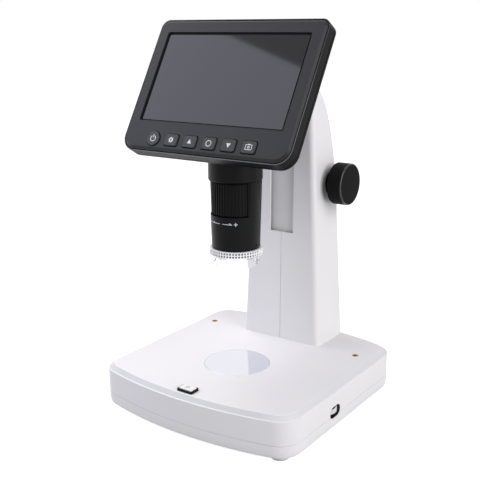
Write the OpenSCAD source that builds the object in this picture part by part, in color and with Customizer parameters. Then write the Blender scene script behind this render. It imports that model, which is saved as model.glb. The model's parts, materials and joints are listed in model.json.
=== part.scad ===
// Desktop digital microscope: a lit base, a hollow column with a rack and pinion slide,
// and a head that carries the optical tube and a tilted monitor.
// X runs across, Y from front to back, Z up from the table.

/* [Base] */
// Width across the straight sides
base_w = 155; // [145:1:180]
// Depth from the front edge to the back edge
base_d = 162.4; // [156:0.2:190]
// Height of the working surface above the table
base_h = 33.5; // [32:0.5:42]
// Radius of the bowed front and back edges in plan
base_bow_r = 270; // [220:5:400]
// Radius of the corners in plan
base_corner_r = 16; // [12:1:22]
// Wall thickness of both base shells
base_wall = 2.5; // [2:0.1:3]
// Thickness of the working surface
roof_t = 3; // [2.6:0.1:4]
// Height of the joint between the two shells above the table
base_split_h = 14.5; // [12.5:0.5:15.5]
// Height of the lower shell's underside above the table
belly_h = 6; // [5:0.1:6.5]
// Drop from the working surface to the rim round it
step_h = 2.7; // [1.6:0.1:4]
// Distance that the working surface stands in from the edge
step_inset = 4.2; // [3:0.1:6]
// Width of the flat rim at the foot of the step
rim_w = 1.2; // [0.6:0.1:2]
// Distance that the lower shell curves in at its underside
tuck_in = 1.2; // [0.6:0.1:4]
// Radius of a foot
foot_r = 6.5; // [5:0.5:8]
// Distance of the feet from the sides, front and back
foot_inset = 14.5; // [13:0.5:18]

/* [Stage] */
// Distance from the base's front edge to the centre of the stage disc
stage_from_front = 64.8; // [58:0.2:66]
// Radius of the stage disc
disc_r = 22.6; // [18:0.2:26]
// Thickness of the stage disc
disc_t = 1.8; // [1.2:0.1:2]
// Distance between the two clip inserts
clip_spacing = 124.6; // [116:0.2:126]
// Distance of the clip inserts behind the stage centre
clip_behind_stage = 57; // [46:0.5:60]
// Outer radius of a clip insert
insert_r = 2.2; // [1.9:0.05:2.8]
// Thread core radius of a clip insert
insert_bore_r = 1.25; // [1:0.05:1.6]
// Length of a clip insert
insert_l = 7; // [5:0.5:9]

/* [Light controls] */
// Length of the light button's frame across the base
button_w = 13; // [11:0.5:16]
// Depth of the light button's frame
button_d = 9; // [8:0.5:10]
// Height of the frame above the working surface
button_proud = 1.5; // [1:0.1:2.5]
// Distance from the base's front edge to the button's centre
button_from_front = 9.8; // [9.4:0.1:12]
// Stroke of the light button
button_travel = 0.6; // [0.4:0.1:0.8]
// Radius of the dimmer wheel
dimmer_r = 9; // [7:0.25:10]
// Thickness of the dimmer wheel
dimmer_t = 3.4; // [2.5:0.1:4]
// Height of the dimmer wheel's middle above the table
dimmer_h = 17.3; // [16.7:0.1:19.5]
// Distance of the dimmer wheel behind the stage centre
dimmer_behind_stage = 1.1; // [0:0.1:6]
// Width of the hole in the side wall for the dimmer wheel
dimmer_hole_w = 13.4; // [12:0.2:15]
// Height of the hole in the side wall for the dimmer wheel
dimmer_hole_h = 8; // [7:0.2:9]

/* [Column] */
// Distance from the base's front edge to the column's front face
column_from_front = 119.9; // [116:0.1:121]
// Width of the column at the working surface
column_w = 66; // [62:0.5:70]
// Width of the column at its top
column_top_w = 47.2; // [45:0.2:56]
// Depth of the column at the working surface
column_d = 37.4; // [36:0.2:38.6]
// Height of the column's top above the table
column_top_h = 219.5; // [215.5:0.5:237.5]
// Distance that the front face leans back over its height
front_lean = 2.8; // [0:0.1:3.4]
// Distance that the back face leans forward up to the shoulder
back_lean = 1.5; // [0:0.1:2]
// Height above the table of the shoulder where the back starts to curve forward
shoulder_h = 128.5; // [115.5:1:137.5]
// Depth of the curved part of the back
arch_d = 26.3; // [25:0.1:27]
// Radius of the column's long edges
column_edge_r = 4.2; // [3:0.1:5]
// Wall thickness of the column shells
column_wall = 1.8; // [1.5:0.1:2.1]
// Width of the slot in the front face
slot_w = 20; // [18:0.5:24]
// Height of the slot's lower end above the table
slot_bottom_h = 115.3; // [107.5:0.2:125.5]
// Height of the slot's upper end above the table
slot_top_h = 200.5; // [199.9:0.2:203.7]

/* [Focus drive] */
// Distance of the pinion shaft behind the column's front face
shaft_behind_front = 24; // [23.4:0.1:24.6]
// Height of the pinion shaft above the table
shaft_h = 151.1; // [145.5:0.2:155.7]
// Radius of the pinion shaft
shaft_r = 3; // [2.5:0.1:3.4]
// Tooth module of the rack and pinion
tooth_module = 0.7; // [0.6:0.05:0.75]
// Number of teeth on the pinion
pinion_teeth = 18; // [17:1:19]
// Travel of the head downwards from rest
focus_down = 45; // [30:1:45]
// Travel of the head upwards from rest
focus_up = 5; // [2:0.5:5]
// Radius of a focus knob
knob_r = 14.9; // [12:0.1:17]
// Distance of a knob's outer face from the middle of the column
knob_reach = 43.5; // [42:0.5:50]
// Length of a knob's grip
knob_grip_l = 11.7; // [9:0.1:12.5]
// Radius of a knob's hub
knob_hub_r = 9; // [8:0.5:11.5]
// Width between the guide rail's two flanges
guide_gap = 30.4; // [29:0.2:32]
// Thickness of a guide flange
guide_t = 3; // [2.4:0.1:3.2]
// Height of the head arm above the table
arm_bottom_h = 181.5; // [180.5:0.2:183.5]
// Height of the head arm's section
arm_t = 12; // [9:0.5:12.5]

/* [Tube] */
// Radius of the collar at the tube's top
collar_r = 18; // [17.6:0.1:18.6]
// Height of the collar's lower edge above the table
collar_bottom_h = 163.5; // [162.5:0.2:165.5]
// Radius of the barrel under the collar
barrel_top_r = 17.6; // [17.5:0.05:17.8]
// Radius of the barrel at its lower end
barrel_bottom_r = 16.2; // [16:0.05:16.6]
// Height of the barrel's lower end above the table
barrel_bottom_h = 117.5; // [114.5:0.5:119.5]
// Bore radius of the barrel
barrel_bore_r = 14.2; // [13.8:0.05:14.4]
// Height of the wheel window
window_l = 21.5; // [18:0.5:22]
// Angle of the wheel window round the tube, at the wheel
window_angle = 125; // [96:1:140]
// Angle that each side of the window opens by on its way out
window_flare = 7.5; // [0:0.5:10]
// Outer radius of the magnification wheel
wheel_r = 16.1; // [15.8:0.05:16.2]
// Number of ribs on the magnification wheel
wheel_ribs = 48; // [36:4:60]
// Outer radius of the knurled nose ring
nose_ring_r = 18.1; // [17.4:0.1:19]
// Height of the nose ring
nose_ring_t = 4.2; // [3:0.1:5]
// Number of ribs on the nose ring
nose_ribs = 56; // [40:4:64]
// Outer radius of the clear hood
hood_r = 14.8; // [13.8:0.1:15.4]
// Length of the clear hood below the nose ring
hood_l = 7.6; // [5:0.1:9]

/* [Monitor] */
// Tilt of the screen from upright, its top leaning back
tilt = 30.7; // [24:0.1:32]
// Height of the screen's centre above the table
monitor_h = 229.35; // [227.5:0.1:233.5]
// Distance of the screen's centre in front of the tube's axis
monitor_forward = 13.8; // [11:0.1:15]
// Width of the screen opening
screen_w = 110; // [100:0.5:112]
// Height of the screen opening
screen_h = 63.3; // [58:0.1:64]
// Width of the monitor
monitor_w = 129.8; // [126:0.2:136]
// Distance from the screen's centre to the monitor's top edge
monitor_above = 42.3; // [39.5:0.1:46]
// Distance from the screen's centre to the monitor's bottom edge
monitor_below = 52.7; // [51:0.1:58]
// Thickness of the monitor at its edge
monitor_edge_t = 11.5; // [10.5:0.1:14]
// Thickness of the monitor at its middle
monitor_mid_t = 20; // [19:0.1:22]
// Thickness of the bezel's front
bezel_t = 1.8; // [1.5:0.1:2.2]
// Radius of the upper corners
top_corner_r = 6; // [4:0.5:9]
// Radius of the lower corners
bottom_corner_r = 10.5; // [8:0.5:13]

/* [Keys] */
// Distance from key to key
key_pitch = 14.83; // [14:0.01:15.6]
// Width of a square key
key_w = 10.1; // [9:0.1:11]
// Height of a square key
key_h = 7.8; // [7.5:0.1:9]
// Radius of the round power key
power_key_r = 5; // [4.4:0.1:5.2]
// Distance of the key row below the screen's centre
key_row_below = 44.1; // [43.6:0.1:44.4]
// Distance of the key row's middle left of the monitor's middle
key_row_left = 1; // [0:0.1:3]
// Height of a key above the bezel
key_proud = 0.8; // [0.6:0.1:1.2]
// Stroke of a key
key_travel = 0.5; // [0.3:0.05:0.5]

/* [Hidden] */
$fn = 96;

eps = 0.01;
slide_gap = 0.05;      // running clearance of what turns or slides in its own seat
fit_gap = 0.15;        // clearance of what drops into a seat
open_gap = 0.35;       // clearance between parts that pass each other
screw_r = 1.4;
screw_head_r = 2.6;
screw_head_t = 1.6;
pcb_t = 1.6;

// Places on the base
stage_y = stage_from_front - base_d / 2;
clip_x = clip_spacing / 2;
clip_y = stage_y + clip_behind_stage;
button_y = button_from_front - base_d / 2;
foot_x = base_w / 2 - foot_inset;
foot_y = base_d / 2 - foot_inset - (base_bow_r - sqrt(pow(base_bow_r, 2) - pow(foot_x, 2)));
base_screw_x = foot_x - foot_r - screw_head_r - 3;
dimmer_reach = base_w / 2 - 0.2;
dimmer_x = dimmer_reach - dimmer_r;
dimmer_y = stage_y + dimmer_behind_stage;
roof_h = base_h - roof_t;
boss_r = 4;

// Light button: cap in its frame, and the switch under it
cap_rim = 1.1;
cap_w = button_w - 2 * cap_rim;
cap_d = button_d - 2 * cap_rim;
switch_top = roof_h - 1;

// Boards and power socket inside the base
light_post = 12;
light_board_h = base_split_h + 2;
board_w = 44;
board_d = 52;
board_x = base_w / 2 - base_wall - board_w / 2 - 4;
board_h = 10.5;
pot_top = dimmer_h - dimmer_t / 2 - 0.4;
socket_r = 4;
socket_l = 11;
socket_x = -45;
socket_h = 20.5;
socket_box_w = 9;
socket_box_in = 5.6;

// Bow and corner centres of the base outline
bow_y = base_bow_r - base_d / 2;
corner_x = base_w / 2 - base_corner_r;
corner_y = sqrt(pow(base_bow_r - base_corner_r, 2) - pow(corner_x, 2)) - bow_y;
socket_y = sqrt(pow(base_bow_r, 2) - pow(socket_x, 2)) - bow_y;

// Places on the column
column_y = column_from_front - base_d / 2;
arch_y = column_y + column_d - back_lean - arch_d;
column_h = column_top_h - base_h;
shaft_y = column_y + shaft_behind_front;
column_hold_x = column_w / 2 - 5.5;
column_hold_front = column_y + 8;
column_hold_back = column_y + column_d - 9;
bracket_hold_x = 12;
function column_half_w(h) = column_w / 2 - (column_w - column_top_w) / 2 * (h - base_h) / column_h;
function column_front(h) = column_y + front_lean * (h - base_h) / column_h;

// Slide, rack and pinion
pitch_r = tooth_module * pinion_teeth / 2;
tooth_pitch = PI * tooth_module;
pressure_angle = 20;
addendum = 0.9 * tooth_module;
dedendum = 1.2 * tooth_module;
backlash = 0.06;
pitch_y = shaft_y - pitch_r;
cover_y = column_front(slot_top_h) + column_wall + 0.25;
cover_t = 1.2;
carriage_y = cover_y + cover_t;
carriage_t = 6;
carriage_h = 38;
carriage_low = arm_bottom_h + arm_t / 2 - carriage_h / 2 - 5;
rack_y = carriage_y + carriage_t;
rack_w = 8;
rack_low = shaft_h - focus_up - 10;
rack_high = shaft_h + focus_down + 8;
tongue_t = 3;
tongue_l = 1.5;
guide_half = guide_gap / 2;
guide_low = base_h + 3;
guide_high = 203.5;
ear_r = 8;
lug_t = 2.5;
guide_hold_y = column_y + 16;
guide_hold_h = base_h + 17;
washer_t = 0.8;
ring_t = 0.8;
bush_r = shaft_r + 1.6;
bush_flange_t = 1.2;
set_screw_r = 1;
arm_hold_x = 7;
hub_start = column_half_w(shaft_h - knob_hub_r) + open_gap;
grip_start = knob_reach - knob_grip_l;

// Tube
arm_w = slot_w - 1;
head_low = arm_bottom_h - 4;
head_r = collar_r + 1.6;
head_wall = 2;
neck_w = arm_w + 8;
neck_back = column_y - 16;
head_top_u = 22;
head_top_d = 8;
head_rise = 8;
head_screw_y = stage_y + head_r + 4;
head_screw_h = arm_bottom_h + arm_t + 5;
collar_top = arm_bottom_h;
collar_lip = 2;
wheel_low = collar_bottom_h - 1 - window_l;
window_low = wheel_low - 0.5;
barrel_hold = 3;
cell_r = barrel_bore_r - slide_gap - 0.2;
cell_low = barrel_bottom_h + 12;
cell_h = 20;
lens_r = 9;
lens_t = 2.6;
hood_wall = 1.4;

// Monitor
monitor_y = stage_y - monitor_forward;
monitor_wall = 2;
glass_t = 1.1;
lcd_t = 3.2;
glass_back = bezel_t + glass_t;
lcd_back = glass_back + lcd_t;
board_front = lcd_back + 1.2;
key_xs = [for (i = [0:5]) (i - 2.5) * key_pitch - key_row_left];
key_y = -key_row_below;
key_gap = 0.25;
key_flange = 0.5;
key_flange_t = 0.9;
switch_t = 1.2;
key_board_front = bezel_t + key_flange_t + key_travel + switch_t + 0.15;
key_board_w = 10;
key_board_end = 8;
rear_y = (monitor_above - monitor_below) / 2;

// Screws from the rear shell into the bezel: places, and the depth of their heads' seats
hold_x = monitor_w / 2 - 7.5;
monitor_hold = [for (x = [-hold_x, hold_x], y = [monitor_above - 5.6, 9.7 - monitor_below]) [x, y]];
seat_depth = monitor_edge_t - screw_head_t - 0.1;
sleeve_l = monitor_wall + 1.5;

// Sockets of the main board: place up the screen, width and height
side_sockets = [[14, 8, 3.2], [0, 8, 3.2], [-14, 12, 1.8]];
side_socket_l = 6;

battery_w = 54;
battery_l = 32;
battery_x = -18;
battery_y = -30;

// ---- shapes that several parts share ----

// Base outline, moved in by an inset
module base_outline(inset = 0) {
    wedge_w = corner_x * bow_y / (bow_y + corner_y);
    reach = 2 * base_bow_r / (base_bow_r - base_corner_r);
    square([base_w - 2 * inset, 2 * corner_y], center = true);
    for (side = [-1, 1]) {
        intersection() {
            translate([0, -side * bow_y]) circle(r = base_bow_r - inset, $fn = 240);
            polygon([
                [-wedge_w, 0], [wedge_w, 0],
                [corner_x * reach, side * ((corner_y + bow_y) * reach - bow_y)],
                [-corner_x * reach, side * ((corner_y + bow_y) * reach - bow_y)]
            ]);
        }
        for (across = [-1, 1])
            translate([across * corner_x, side * corner_y])
                circle(r = base_corner_r - inset);
    }
}

// Block with the column's outside shape, or its inside with a wall taken off
module column_block(wall = 0) {
    centre_in = column_edge_r;
    r = column_edge_r - wall;
    rise = column_top_h - shoulder_h - centre_in;
    top = column_top_h - centre_in;
    stations = concat(
        [[column_front(base_h - 8) + centre_in, base_h - 8],
         [column_y + column_d - centre_in, base_h - 8],
         [column_front(top) + centre_in, top]],
        [for (t = [0:10:80]) [arch_y + (arch_d - centre_in) * cos(t), shoulder_h + rise * sin(t)]]
    );
    intersection() {
        hull()
            for (s = stations, side = [-1, 1])
                translate([side * (column_half_w(s[1]) - centre_in), s[0], s[1]])
                    sphere(r = r, $fn = 24);
        translate([-column_w, column_y - 20, base_h]) cube([2 * column_w, 100, 2 * column_h]);
    }
}

module pan_screw(l) {
    cylinder(r = screw_r - slide_gap, h = l);
    translate([0, 0, -screw_head_t]) cylinder(r = screw_head_r, h = screw_head_t);
}

// Rectangle with round corners, centred
module round_rect(w, h, r) {
    square([w - 2 * r, h], center = true);
    square([w, h - 2 * r], center = true);
    for (x = [-1, 1], y = [-1, 1])
        translate([x * (w / 2 - r), y * (h / 2 - r)]) circle(r = r, $fn = 48);
}

// Monitor outline in its own plane, moved in by an inset
module monitor_outline(inset = 0) {
    half = monitor_w / 2;
    rt = top_corner_r;
    rb = bottom_corner_r;
    polygon([
        [-half + inset, -monitor_below + rb], [-half + rb, -monitor_below + rb],
        [-half + rb, -monitor_below + inset], [half - rb, -monitor_below + inset],
        [half - rb, -monitor_below + rb], [half - inset, -monitor_below + rb],
        [half - inset, monitor_above - rt], [half - rt, monitor_above - rt],
        [half - rt, monitor_above - inset], [-half + rt, monitor_above - inset],
        [-half + rt, monitor_above - rt], [-half + inset, monitor_above - rt]
    ]);
    for (side = [-1, 1]) {
        translate([side * (half - rt), monitor_above - rt]) circle(r = rt - inset, $fn = 48);
        translate([side * (half - rb), rb - monitor_below]) circle(r = rb - inset, $fn = 48);
    }
}

// Monitor frame: X across, Y up the screen, Z out of its front
module on_monitor() {
    translate([0, monitor_y, monitor_h]) rotate([90 - tilt, 0, 0]) children();
}

module on_tube(h) {
    translate([0, stage_y, h]) children();
}

module four(x, y) {
    for (sx = [-1, 1], sy = [-1, 1]) translate([sx * x, sy * y]) children();
}

// ---- base ----

module column_hold_places() {
    for (x = [-column_hold_x, column_hold_x], y = [column_hold_front, column_hold_back])
        translate([x, y, 0]) children();
}

module bracket_hold_places() {
    for (x = [-bracket_hold_x, bracket_hold_x], y = [column_y + 12, column_y + column_d - 9])
        translate([x, y, 0]) children();
}

// Round-ended hole for the dimmer wheel, across the joint between the base shells
module dimmer_opening() {
    r = dimmer_hole_h / 2;
    reach = dimmer_hole_w / 2 - r;
    translate([base_w / 2 - 3 * base_wall, dimmer_y, dimmer_h]) {
        for (side = [-1, 1]) translate([0, side * reach, 0])
            rotate([0, 90, 0]) cylinder(r = r, h = 4 * base_wall);
        translate([0, -reach, -r]) cube([4 * base_wall, 2 * reach, 2 * r]);
    }
}

module base_top_shell() {
    color("white") difference() {
        union() {
            difference() {
                union() {
                    translate([0, 0, base_split_h])
                        linear_extrude(base_h - step_h - base_split_h) base_outline();
                    hull() {
                        translate([0, 0, base_h - step_h - eps])
                            linear_extrude(eps) base_outline(rim_w);
                        translate([0, 0, base_h - step_h * 0.45])
                            linear_extrude(eps) base_outline(step_inset - 0.6);
                        translate([0, 0, base_h - eps])
                            linear_extrude(eps) base_outline(step_inset);
                    }
                }
                translate([0, 0, base_split_h - 1])
                    linear_extrude(roof_h - base_split_h + 1)
                        base_outline(base_wall + step_inset - rim_w);
                translate([0, 0, base_split_h - 1])
                    linear_extrude(base_h - step_h - roof_t - base_split_h + 1)
                        base_outline(base_wall);
            }
            // bosses for the base screws and the clip inserts
            four(base_screw_x, foot_y)
                translate([0, 0, base_split_h]) cylinder(r = boss_r, h = roof_h - base_split_h + eps);
            for (x = [-clip_x, clip_x])
                translate([x, clip_y, base_h - insert_l - 1.5])
                    cylinder(r = insert_r + 1.6, h = insert_l);
        }
        // seat and lit opening of the stage disc
        on_tube(base_h - disc_t) cylinder(r = disc_r + fit_gap, h = roof_t);
        on_tube(roof_h - 1) cylinder(r = disc_r - 2, h = roof_t + 2);
        for (x = [-clip_x, clip_x])
            translate([x, clip_y, base_h - insert_l]) cylinder(r = insert_r + eps, h = insert_l + 1);
        four(base_screw_x, foot_y)
            translate([0, 0, base_split_h - 1]) cylinder(r = screw_r, h = roof_h - base_split_h - 1);
        // light button
        translate([0, button_y, roof_h - 1])
            linear_extrude(roof_t + 2) round_rect(button_w + 0.1, button_d + 0.1, 2);
        dimmer_opening();
        translate([dimmer_x, dimmer_y, dimmer_h - dimmer_t / 2 - open_gap])
            cylinder(r = dimmer_r + open_gap, h = dimmer_t + 2 * open_gap);
        // power socket
        translate([socket_x, socket_y - 12, socket_h]) rotate([-90, 0, 0])
            cylinder(r = socket_r + 0.1, h = 20);
        // screws that hold the column and the foot bracket
        translate([0, 0, roof_h - 1]) {
            column_hold_places() cylinder(r = screw_r + 0.1, h = roof_t + 2);
            bracket_hold_places() cylinder(r = screw_r + 0.1, h = roof_t + 2);
        }
    }
}

module base_bottom_shell() {
    lift = base_split_h - belly_h;
    color("white") difference() {
        union() {
            difference() {
                hull()
                    for (t = [0:30:90])
                        translate([0, 0, base_split_h - lift * sin(t) - (t == 0 ? eps : 0)])
                            linear_extrude(eps) base_outline(tuck_in * (1 - cos(t)));
                translate([0, 0, belly_h + base_wall])
                    linear_extrude(lift) base_outline(base_wall + tuck_in / 2);
            }
            // screw sleeves, board posts
            four(base_screw_x, foot_y)
                translate([0, 0, belly_h + 1]) cylinder(r = boss_r, h = lift - 1);
            on_tube(belly_h + 1)
                four(light_post, light_post) cylinder(r = 2, h = light_board_h - belly_h - 1);
            translate([board_x, stage_y, belly_h + 1])
                four(board_w / 2 - 3, board_d / 2 - 3) cylinder(r = 2, h = board_h - belly_h - 1);
        }
        four(base_screw_x, foot_y) {
            translate([0, 0, belly_h - 1]) cylinder(r = screw_r + 0.1, h = lift + 2);
            translate([0, 0, belly_h - 1]) cylinder(r = screw_head_r + 0.2, h = 4.2);
        }
        four(foot_x, foot_y)
            translate([0, 0, belly_h - 1]) cylinder(r = foot_r - 1.5 + eps, h = 2);
        dimmer_opening();
    }
}

module rubber_feet() {
    color("gainsboro") four(foot_x, foot_y) {
        rotate_extrude() intersection() {
            translate([foot_r - 9, 9]) circle(r = 9);
            square([foot_r, belly_h]);
        }
        cylinder(r = foot_r - 2.5, h = belly_h);
        translate([0, 0, belly_h]) cylinder(r = foot_r - 1.5, h = 1);
    }
}

module base_screws() {
    color("silver") four(base_screw_x, foot_y)
        translate([0, 0, belly_h + 3.2]) pan_screw(roof_h - belly_h - 7);
}

module stage_disc() {
    color("lavender") on_tube(base_h - disc_t) cylinder(r = disc_r, h = disc_t - 0.15);
}

module stage_light_board() {
    color("seagreen") on_tube(light_board_h) {
        cylinder(r = disc_r - 2.6, h = pcb_t);
        for (ring = [[1, 0], [6, 7.5], [12, 15]], i = [0:ring[0] - 1])
            rotate([0, 0, i * 360 / ring[0]]) translate([ring[1], 0, pcb_t])
                translate([-1.4, -1.4, 0]) cube([2.8, 2.8, 0.9]);
    }
}

module clip_inserts() {
    color("goldenrod") for (x = [-clip_x, clip_x])
        translate([x, clip_y, base_h - insert_l]) difference() {
            cylinder(r = insert_r, h = insert_l);
            translate([0, 0, -1]) cylinder(r = insert_bore_r, h = insert_l + 2);
        }
}

module light_button_frame() {
    color("black") translate([0, button_y, 0]) difference() {
        translate([0, 0, roof_h]) linear_extrude(roof_t + button_proud) round_rect(button_w, button_d, 1.9);
        translate([0, 0, roof_h - 1])
            linear_extrude(roof_t + button_proud + 2) round_rect(cap_w, cap_d, 1);
    }
}

module light_button() {
    color("whitesmoke") translate([0, button_y, switch_top + button_travel + 0.1])
        linear_extrude(base_h + button_proud - switch_top)
            round_rect(cap_w - 0.4, cap_d - 0.4, 0.8);
}

module light_switch() {
    case_w = 6;
    case_t = 3;
    plunger_t = 0.6;
    bridge_w = 28;
    post_r = 1.6;
    bridge_top = switch_top - plunger_t - case_t;
    color("dimgray") translate([0, button_y, 0]) {
        translate([-case_w / 2, -case_w / 2, bridge_top]) cube([case_w, case_w, case_t]);
        translate([0, 0, bridge_top + case_t]) cylinder(r = case_w / 4, h = plunger_t);
        // bridge board that hangs from the underside of the working surface
        translate([-bridge_w / 2, -cap_d / 2, bridge_top - pcb_t]) cube([bridge_w, cap_d, pcb_t]);
        for (side = [-1, 1])
            translate([side * (bridge_w / 2 - 2), 0, bridge_top]) cylinder(r = post_r, h = roof_h - bridge_top);
    }
}

module base_circuit_board() {
    color("seagreen") {
        translate([board_x - board_w / 2, stage_y - board_d / 2, board_h]) difference() {
            cube([board_w, board_d, pcb_t]);
            translate([board_w / 2, board_d / 2, -1])
                four(board_w / 2 - 3, board_d / 2 - 3) cylinder(r = 1.1, h = pcb_t + 2);
        }
        translate([board_x - 12, stage_y - 16, board_h + pcb_t]) cube([8, 8, 2]);
        translate([board_x - 12, stage_y + 6, board_h + pcb_t]) cylinder(r = 3, h = 6);
        translate([board_x - 4, stage_y + 14, board_h + pcb_t]) cylinder(r = 3, h = 6);
    }
}

module dimmer_potentiometer() {
    color("dimgray") translate([dimmer_x, dimmer_y, 0]) {
        translate([-4, -5, board_h + pcb_t]) cube([8, 10, pot_top - board_h - pcb_t]);
        translate([0, 0, pot_top]) cylinder(r = 2, h = dimmer_t + 1.2);
    }
}

module dimmer_wheel() {
    teeth = 36;
    color("white") translate([dimmer_x, dimmer_y, dimmer_h - dimmer_t / 2]) difference() {
        linear_extrude(dimmer_t)
            polygon([for (i = [0:2 * teeth - 1])
                let (r = i % 2 == 0 ? dimmer_r : dimmer_r - 0.5, a = i * 180 / teeth)
                [r * cos(a), r * sin(a)]]);
        translate([0, 0, -1]) cylinder(r = 2 + slide_gap, h = dimmer_t + 2);
    }
}

module power_socket() {
    floor_y = belly_h + base_wall - socket_h;
    color("black") translate([socket_x, socket_y - 1.2, socket_h]) rotate([90, 0, 0]) difference() {
        union() {
            cylinder(r = socket_r, h = socket_l);
            // box, and the stand that carries it on the lower shell's floor
            translate([-socket_box_w / 2, floor_y, socket_box_in])
                cube([socket_box_w, socket_box_w / 2 - floor_y, socket_l - socket_box_in]);
        }
        difference() {
            translate([0, 0, -1]) cylinder(r = socket_r - 1.25, h = 10);
            cylinder(r = 1, h = 10);
        }
    }
}

// ---- column ----

module column_shell(side) {
    boss_l = 12;
    difference() {
        union() {
            difference() {
                column_block();
                translate([0, 0, -eps]) column_block(column_wall);
            }
            intersection() {
                column_hold_places() translate([0, 0, base_h]) cylinder(r = boss_r, h = boss_l);
                column_block(column_wall / 2);
            }
        }
        translate([-slot_w / 2, column_y - 5, slot_bottom_h])
            cube([slot_w, 15, slot_top_h - slot_bottom_h]);
        column_hold_places() translate([0, 0, base_h - 1]) cylinder(r = screw_r, h = boss_l);
        translate([-column_w, shaft_y, shaft_h]) rotate([0, 90, 0])
            cylinder(r = shaft_r + 0.6, h = 2 * column_w);
        // the half on the other side of the seam
        translate([side > 0 ? -column_w : 0, 0, 0]) cube([column_w, 200, 300]);
    }
}

module column_left_shell() { color("white") column_shell(-1); }

module column_right_shell() { color("white") column_shell(1); }

module column_screws() {
    hold_l = 10;
    color("silver") column_hold_places() translate([0, 0, roof_h]) pan_screw(roof_t + hold_l);
}

module foot_bracket() {
    lug_x = guide_half + guide_t;
    color("silver") difference() {
        union() {
            translate([-lug_x - lug_t, column_y + 7, base_h])
                cube([2 * (lug_x + lug_t), column_d - 12, guide_low - base_h]);
            for (side = [-1, 1])
                translate([side * (lug_x + lug_t / 2) - lug_t / 2, guide_hold_y - 7, base_h])
                    cube([lug_t, 14, guide_hold_h - base_h + 7]);
        }
        bracket_hold_places() translate([0, 0, base_h - 1]) cylinder(r = screw_r, h = 6);
        guide_holes(screw_r + 0.1);
    }
}

module bracket_screws() {
    color("silver") {
        bracket_hold_places() translate([0, 0, roof_h]) pan_screw(roof_t + 2.6);
        for (side = [-1, 1])
            translate([side * (guide_half + guide_t + lug_t), guide_hold_y, guide_hold_h])
                rotate([0, -side * 90, 0]) pan_screw(lug_t + guide_t - 0.5);
    }
}

module guide_holes(r) {
    translate([-column_w, guide_hold_y, guide_hold_h]) rotate([0, 90, 0])
        cylinder(r = r, h = 2 * column_w);
}

module guide_rail() {
    front = carriage_y + 0.3;
    groove_y = carriage_y + carriage_t / 2;
    web_t = 3;
    back = pitch_y + addendum + 0.8 + web_t;
    top_back = pitch_y + addendum + 0.6;
    color("lightsteelblue") difference() {
        union() {
            for (side = [-1, 1])
                translate([side * (guide_half + guide_t / 2) + guide_t / 2, 0, 0])
                    rotate([0, -90, 0]) linear_extrude(guide_t) {
                        polygon([[guide_low, front], [guide_high, front], [guide_high, top_back],
                                 [shaft_h + 16, top_back], [shaft_h, shaft_y + 2],
                                 [shaft_h - 14, back], [guide_low, back]]);
                        translate([shaft_h, shaft_y]) circle(r = ear_r);
                    }
            // webs that join the flanges behind the rack
            translate([-guide_half - eps, back - web_t, guide_low])
                cube([guide_gap + 2 * eps, web_t, shaft_h - 18 - guide_low]);
            translate([-guide_half - eps, top_back - 0.01, shaft_h + 20])
                cube([guide_gap + 2 * eps, 2.4, guide_high - shaft_h - 20]);
            for (side = [-1, 1])
                translate([side * (guide_half + guide_t / 2) - guide_t / 2, top_back - 1, shaft_h + 20])
                    cube([guide_t, 3.4, guide_high - shaft_h - 20]);
        }
        for (side = [-1, 1])
            translate([side * guide_half - tongue_l - slide_gap,
                       groove_y - tongue_t / 2 - slide_gap, guide_low - 1])
                cube([2 * (tongue_l + slide_gap), tongue_t + 2 * slide_gap, guide_high]);
        translate([-column_w, shaft_y, shaft_h]) rotate([0, 90, 0])
            cylinder(r = bush_r + 0.02, h = 2 * column_w);
        guide_holes(screw_r);
    }
}

module shaft_bushes() {
    color("goldenrod") for (side = [-1, 1])
        translate([side * guide_half, shaft_y, shaft_h]) rotate([0, side * 90, 0]) difference() {
            union() {
                cylinder(r = bush_r, h = guide_t);
                translate([0, 0, -bush_flange_t]) cylinder(r = bush_r + 1.6, h = bush_flange_t);
            }
            translate([0, 0, -5]) cylinder(r = shaft_r + slide_gap, h = 12);
        }
}

module friction_washers() {
    color("silver") for (side = [-1, 1])
        translate([side * (guide_half - bush_flange_t - slide_gap), shaft_y, shaft_h])
            rotate([0, -side * 90, 0]) difference() {
                cylinder(r = bush_r + 1.2, h = washer_t);
                translate([0, 0, -1]) cylinder(r = shaft_r + 0.02, h = 4);
            }
}

module retaining_rings() {
    color("dimgray") for (side = [-1, 1])
        translate([side * (guide_half - bush_flange_t - slide_gap - washer_t), shaft_y, shaft_h])
            rotate([0, -side * 90, 0]) difference() {
                cylinder(r = bush_r + 0.4, h = ring_t);
                translate([0, 0, -1]) cylinder(r = shaft_r + 0.02, h = 4);
            }
}

module carriage() {
    half = guide_half - 0.1;
    color("gray") difference() {
        union() {
            translate([-half, carriage_y, carriage_low]) cube([2 * half, carriage_t, carriage_h]);
            translate([-half - tongue_l, carriage_y + (carriage_t - tongue_t) / 2, carriage_low])
                cube([2 * (half + tongue_l), tongue_t, carriage_h]);
        }
        for (x = [-arm_hold_x, arm_hold_x])
            translate([x, carriage_y - 1, arm_bottom_h + arm_t / 2]) rotate([-90, 0, 0])
                cylinder(r = screw_r + 0.1, h = carriage_t + 2);
    }
}

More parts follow.
